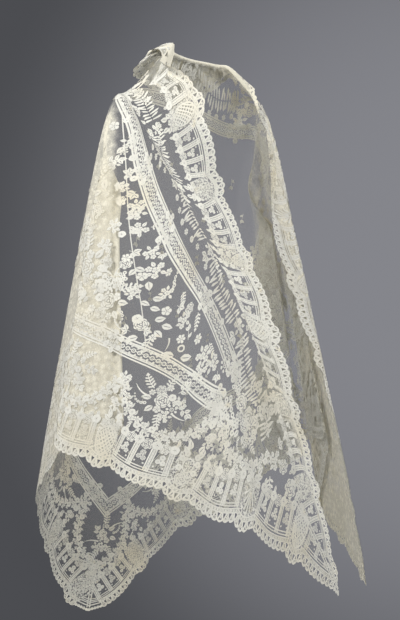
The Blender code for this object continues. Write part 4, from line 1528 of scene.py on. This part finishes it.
def net_cover(s, t):
    """How much thicker than one layer the net looks at flat points."""
    cover = np.zeros_like(s)
    for row in COVERS:
        shoulder = NEAR if row.side == "near" else FAR
        across = -shoulder.side * s - shoulder.s
        angle = np.degrees(np.arctan2(t - shoulder.t, across))
        away = np.hypot(across, t - shoulder.t)
        share = smooth_step((angle - row.angle) / row.soft + 0.5)
        share = share * (1.0 - smooth_step((angle - row.to_angle) / row.soft + 0.5))
        share = share * smooth_step((away - COVER_START) / COVER_SOFT)
        share = share * (1.0 - smooth_step((away - row.reach) / REACH_SOFT))
        cover = np.maximum(cover, row.more * share)
    turned = smooth_curve(s, COLLAR, "s", "width") + COLLAR_SOFT - t
    collar = COLLAR_COVER * smooth_step(turned / COLLAR_SOFT) * (np.abs(s) < COLLAR_HALF)
    return np.maximum(cover, collar)


def net_points():
    """Points over the cloth, closer where it is folded."""
    row = np.arange(math.ceil(HALF_EDGE / (NET_STEP * NET_ROW)))[:, None]
    columns = math.ceil(HALF_EDGE / NET_STEP)
    column = np.arange(-columns, columns)[None, :]
    s = (column + 0.5 * (row % 2)) * NET_STEP
    t = (row + 0.5) * NET_STEP * NET_ROW + 0.0 * column
    points = [np.stack([s.ravel(), t.ravel()], -1)]
    away = np.arange(*FOLD_LINE_REACH, FOLD_LINE_STEP)
    for shoulder, pleats in ((NEAR, NEAR_PLEATS), (FAR, FAR_PLEATS)):
        for pleat in pleats:
            for angle in (pleat.outer, pleat.inner):
                c, w = heading(angle)
                for beside in BESIDE_FOLD:
                    across = shoulder.s + away * c - beside * w
                    down = shoulder.t + away * w + beside * c
                    points.append(np.stack([-shoulder.side * across, down], -1))
    along = np.arange(*COLLAR_REACH, COLLAR_STEP)
    width = smooth_curve(along, COLLAR, "s", "width")
    for beside in BESIDE_COLLAR:
        points.append(np.stack([along, width + beside], -1))
    points = np.concatenate(points)
    points = points[depth_inside(points) > EDGE_ROOM + EYELET_INSET + EYELET_SIZE]
    squares = np.round(points / POINT_GAP).astype(int)
    _, first = np.unique(squares, axis=0, return_index=True)
    return points[np.sort(first)]


def inside_outline(points, outline):
    """Whether points lie inside a closed outline."""
    result = np.zeros(len(points), bool)
    for a, b in zip(outline, np.roll(outline, -1, 0)):
        crosses = (a[1] > points[:, 1]) != (b[1] > points[:, 1])
        if crosses.any():
            where = a[0] + (points[crosses, 1] - a[1]) * (b[0] - a[0]) / (b[1] - a[1] + 1e-30)
            result[crosses] ^= points[crosses, 0] < where
    return result


def net_mesh():
    """The whole net, with its scallops cut and its triangles open."""
    outline = cloth_outline()
    holes = open_triangles()
    points = [outline]
    edges = [(k, (k + 1) % len(outline)) for k in range(len(outline))]
    first = len(outline)
    for hole in holes:
        points.append(hole)
        edges.extend((first + k, first + (k + 1) % 3) for k in range(3))
        first += 3
    points.append(net_points())
    vectors = [Vector(point) for point in np.concatenate(points)]
    found = delaunay_2d_cdt(vectors, edges, [], 0, WELD)
    flat = np.array([tuple(v) for v in found[0]])
    faces = np.array([tuple(face) for face in found[2]])
    middle = flat[faces].mean(1)
    keep = inside_outline(middle, outline)
    centres = np.array([hole.mean(0) for hole in holes])
    for k in np.nonzero(depth_inside(middle) < EYELETS_TO)[0]:
        nearest = np.abs(centres - middle[k]).sum(-1).argmin()
        if inside_outline(middle[k:k + 1], holes[nearest])[0]:
            keep[k] = False
    return flat, faces[keep]


# Materials
NET_THREAD = 0.17           # how solid the net looks at its threads and in its holes
NET_HOLE = 0.03
COVER_GAIN = 1.35
CREAM = (0.80, 0.79, 0.72)
AGED = (0.79, 0.73, 0.57)
NET_RGB = (0.66, 0.65, 0.60)
COVER_RGB = (0.86, 0.82, 0.68)
MESH_SCALE = 520.0          # threads of the net for each metre
MESH_UNEVEN = 0.35
MESH_REACH = (0.05, 0.16)
Cells = namedtuple("Cells", "scale reach values")
NET_PETALS = Cells(78.0, (0.14, 0.56), (1.0, 0.60))
NET_STITCHES = Cells(300.0, (0.10, 0.60), (1.0, 0.66))
LACE_STITCHES = Cells(290.0, (0.10, 0.62), (-1.6, 0.9))
Cotton = namedtuple("Cotton", "name rgb sheen threads alpha")
CLOUDS = 5.0                # large aged parts and small spots, for each metre
SPOTS = 34.0
AGED_REACH = (0.50, 0.72)
SPOT_REACH = (0.62, 0.74)
SPOT_MOST = 0.7
TONE_SHARE = 0.05
THREAD_SHARE = 0.50
DARKEST = 0.72
ROUGHNESS = (0.62, 0.92)
BUMP = {"Strength": 0.35, "Distance": 0.0004}


def new_material(name):
    material = bpy.data.materials.new(name)
    material.use_nodes = True
    return material, material.node_tree


def set_shader(tree, sockets):
    for name, value in sockets.items():
        set_socket(tree, tree.nodes["Principled BSDF"].inputs[name], value)


def add_node(tree, kind, settings=(), **values):
    """A node with its settings, and with numbers or other nodes' outputs on its named sockets."""
    node = tree.nodes.new("ShaderNode" + kind)
    for name, setting in dict(settings).items():
        setattr(node, name, setting)
    for name, value in values.items():
        set_socket(tree, node.inputs[name.replace("_", " ")], value)
    return node


def set_socket(tree, socket, value):
    if isinstance(value, bpy.types.NodeSocket):
        tree.links.new(value, socket)
    else:
        socket.default_value = value


def calculated(tree, operation, *terms, clamp=False):
    node = add_node(tree, "Math", {"operation": operation, "use_clamp": clamp})
    for socket, term in zip(node.inputs, terms):
        set_socket(tree, socket, term)
    return node.outputs[0]


def ramp(tree, value, reach, values, settings=()):
    """A value carried from one reach to another."""
    ends = {"From_Min": reach[0], "From_Max": reach[1], "To_Min": values[0], "To_Max": values[1]}
    return add_node(tree, "MapRange", settings, Value=value, **ends).outputs[0]


def mixed(tree, factor, first, second):
    """A colour between two others."""
    colours = {"A": first, "B": second}
    return add_node(tree, "Mix", {"data_type": "RGBA"}, Factor=factor, **colours).outputs["Result"]


def noise(tree, place, scale, detail):
    return add_node(tree, "TexNoise", Vector=place, Scale=scale, Detail=detail).outputs["Fac"]


def pattern(tree, place, cells):
    """Round cells: one value at their middles and another between them."""
    texture = add_node(tree, "TexVoronoi", Vector=place, Scale=cells.scale)
    return ramp(tree, texture.outputs["Distance"], cells.reach, cells.values)


def net_alpha(tree, place, cover):
    """A mesh of threads, and stitched petals where layers or a turned edge make it thicker."""
    sockets = {"Vector": place, "Scale": MESH_SCALE, "Randomness": MESH_UNEVEN}
    mesh = add_node(tree, "TexVoronoi", {"feature": "DISTANCE_TO_EDGE"}, **sockets)
    hole = ramp(tree, mesh.outputs["Distance"], MESH_REACH, (NET_THREAD, NET_HOLE))
    petals = pattern(tree, place, NET_PETALS)
    stitches = pattern(tree, place, NET_STITCHES)
    covered = calculated(tree, "MULTIPLY", cover, calculated(tree, "MULTIPLY", petals, stitches))
    return calculated(tree, "MULTIPLY_ADD", covered, COVER_GAIN, hole, clamp=True)


def lace_alpha(tree, place, dense):
    """Closed where the thread is dense, and stitched with small holes where it isn't."""
    stitches = pattern(tree, place, LACE_STITCHES)
    opened = calculated(tree, "MULTIPLY_ADD", dense, -1.0, 1.0)
    holes = calculated(tree, "MULTIPLY", opened, stitches)
    return calculated(tree, "ADD", dense, holes, clamp=True)


def cotton_material(cotton):
    """Cotton thread: close lines of thread, cloudy tone, warmer aged parts, sheen and wear."""
    material, tree = new_material(cotton.name)
    place = add_node(tree, "UVMap", {"uv_map": "flat"}).outputs[0]
    tone = add_node(tree, "Attribute", {"attribute_name": "tone"}).outputs["Fac"]
    dense = add_node(tree, "Attribute", {"attribute_name": "dense"}).outputs["Fac"]
    threads = noise(tree, place, cotton.threads, 2.0)

    aged = ramp(tree, noise(tree, place, CLOUDS, 4.0), AGED_REACH, (0.0, 1.0))
    spotted = ramp(tree, noise(tree, place, SPOTS, 2.0), SPOT_REACH, (0.0, SPOT_MOST))
    warmth = calculated(tree, "MAXIMUM", aged, spotted)
    colour = mixed(tree, warmth, (*cotton.rgb, 1.0), (*AGED, 1.0))
    if cotton.alpha is net_alpha:
        colour = mixed(tree, dense, colour, (*COVER_RGB, 1.0))
    shade = calculated(tree, "MULTIPLY_ADD", tone, TONE_SHARE, DARKEST)
    shade = calculated(tree, "MULTIPLY_ADD", threads, THREAD_SHARE, shade)
    shaded = add_node(tree, "VectorMath", {"operation": "SCALE"}, Vector=colour, Scale=shade)
    set_shader(tree, {
        "Base Color": shaded.outputs[0],
        "Roughness": ramp(tree, threads, (0.0, 1.0), ROUGHNESS),
        "Normal": add_node(tree, "Bump", Height=threads, **BUMP).outputs[0],
        "Alpha": cotton.alpha(tree, place, dense),
        "Sheen Weight": cotton.sheen,
        "Sheen Roughness": 0.5,
        "Specular IOR Level": 0.25,
    })
    return material


for edge in EDGES:
    add_border(edge)
    add_band(edge)
    if edge.name == "front":
        add_ferns(edge)
    else:
        add_swags(edge)
    add_corner(edge)
for group in FIELD:
    field.stamp(group.kind, group.s, group.t, group.size, group.turn, True)
for group in BOUQUETS:
    add_bouquet(group, True)
for stem in STEMS:
    add_stem(stem)
add_scatter()

net_material = cotton_material(Cotton("net", NET_RGB, 0.30, 700.0, net_alpha))
border_material = cotton_material(Cotton("border lace", CREAM, 0.35, 620.0, lace_alpha))
applied_material = cotton_material(Cotton("applied lace", CREAM, 0.35, 620.0, lace_alpha))

flat, faces = net_mesh()
cover = net_cover(flat[:, 0], flat[:, 1])
net = mesh_piece("net_ground", flat, faces, 0.0, cover, np.zeros(len(flat)), net_material)
border_laces = (edging, bars, medallions, border_flowers)
border_pieces = [lace_piece(lace, border_material) for lace in border_laces]
applied_pieces = [lace_piece(lace, applied_material) for lace in (band, garlands, field)]

solids = sorted(ob.name for ob in bpy.data.objects if ob.type == "MESH" and ob is not net)
net_nodes = [name for name in solids if name.startswith("net_")]
border_nodes = [name for name in solids if name.startswith("border_")]
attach(net, "root")
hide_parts(*net_nodes)
for piece in border_pieces + applied_pieces:
    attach(piece, "root")
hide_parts(*border_nodes)


# Studio
FLOOR_Z = -1.47
FLOOR_RADIUS = 0.66
FLOOR_RGB = (0.62, 0.62, 0.61)
CAMERA_TURN = math.radians(40.0)
CAMERA_AIM = Vector((math.sin(CAMERA_TURN), math.cos(CAMERA_TURN), 0.0))
CAMERA_SIDE = Vector((math.cos(CAMERA_TURN), -math.sin(CAMERA_TURN), 0.0))
CAMERA_AWAY = 4.0
CAMERA_RIGHT = 0.020
CAMERA_Z = -0.595
FILM_SIZE = 36.0
LENS_SHARE = 1720.0 / 620.0
# The backdrop's greys: a darker wall, and the painted pool of light on it
WALL_DARK = (0.072, 0.074, 0.082, 1.0)
WALL_PAINTED_LIGHT = (0.235, 0.238, 0.262, 1.0)
LAMP_RGB = (1.0, 0.992, 0.975)
LAMP_TARGET = Vector((0.0, 0.0, -0.60))
Lamp = namedtuple("Lamp", "name azimuth elevation distance size power")
LAMPS = (
    Lamp("key", -87.0, 34.0, 3.6, 1.8, 134.0),
    Lamp("fill", 8.0, 18.0, 3.8, 2.2, 56.0),
    Lamp("side", 68.0, 22.0, 3.8, 1.8, 80.0),
    Lamp("back", 165.0, 35.0, 4.0, 1.8, 30.0),
)


def floor_material():
    material, tree = new_material("floor")
    cloud = add_node(tree, "TexNoise", Scale=60.0).outputs["Fac"]
    darker = (*(0.96 * c for c in FLOOR_RGB), 1.0)
    colour = mixed(tree, cloud, (*FLOOR_RGB, 1.0), darker)
    set_shader(tree, {"Base Color": colour, "Roughness": 0.8})
    return material


def add_floor():
    turn = 2.0 * np.pi * np.arange(64) / 64
    points = [(FLOOR_RADIUS * math.cos(a), FLOOR_RADIUS * math.sin(a), FLOOR_Z) for a in turn]
    data = bpy.data.meshes.new("floor")
    data.from_pydata(points, [], [list(range(len(points)))])
    data.materials.append(floor_material())
    add_object("floor", data)


def add_world():
    """Smooth grey all round with a painted pool of light a little right of where the camera looks;
    darker above and to the left, as in the photo.
    """
    world = bpy.data.worlds.new("studio")
    bpy.context.scene.world = world
    world.use_nodes = True
    tree = world.node_tree
    # The middle of the painted pool of light on the backdrop
    centre = (CAMERA_AIM + CAMERA_SIDE * 0.16 + Vector((0.0, 0.0, 0.02))).normalized()
    place = add_node(tree, "TexCoord").outputs["Generated"]
    toward = add_node(tree, "VectorMath", {"operation": "DOT_PRODUCT"})
    set_socket(tree, toward.inputs[0], place)
    set_socket(tree, toward.inputs[1], centre)
    smooth = {"interpolation_type": "SMOOTHSTEP"}
    share = ramp(tree, toward.outputs["Value"], (0.955, 1.0), (0.0, 1.0), smooth)
    grey = mixed(tree, share, WALL_DARK, WALL_PAINTED_LIGHT)
    set_socket(tree, tree.nodes["Background"].inputs["Color"], grey)


def add_lamps():
    for lamp in LAMPS:
        light = bpy.data.lights.new(lamp.name, "AREA")
        light.shape = "DISK"
        light.size = lamp.size
        light.energy = lamp.power
        light.color = LAMP_RGB
        a, e = math.radians(lamp.azimuth), math.radians(lamp.elevation)
        back = Vector((math.sin(a) * math.cos(e), -math.cos(a) * math.cos(e), math.sin(e)))
        ob = add_object(lamp.name, light)
        ob.location = LAMP_TARGET + back * lamp.distance
        ob.rotation_mode = "QUATERNION"
        ob.rotation_quaternion = (-back).to_track_quat("-Z", "Y")


def add_camera():
    data = bpy.data.cameras.new("camera")
    data.lens = FILM_SIZE * LENS_SHARE
    data.sensor_width = FILM_SIZE
    camera = add_object("camera", data)
    up = Vector((0.0, 0.0, CAMERA_Z))
    camera.location = -CAMERA_AIM * CAMERA_AWAY + CAMERA_SIDE * CAMERA_RIGHT + up
    camera.rotation_euler = (math.radians(90.0), 0.0, -CAMERA_TURN)
    bpy.context.scene.camera = camera


add_floor()
add_world()
add_lamps()
add_camera()
scene = bpy.context.scene
scene.view_settings.view_transform = "Standard"
scene.cycles.transparent_max_bounces = 48
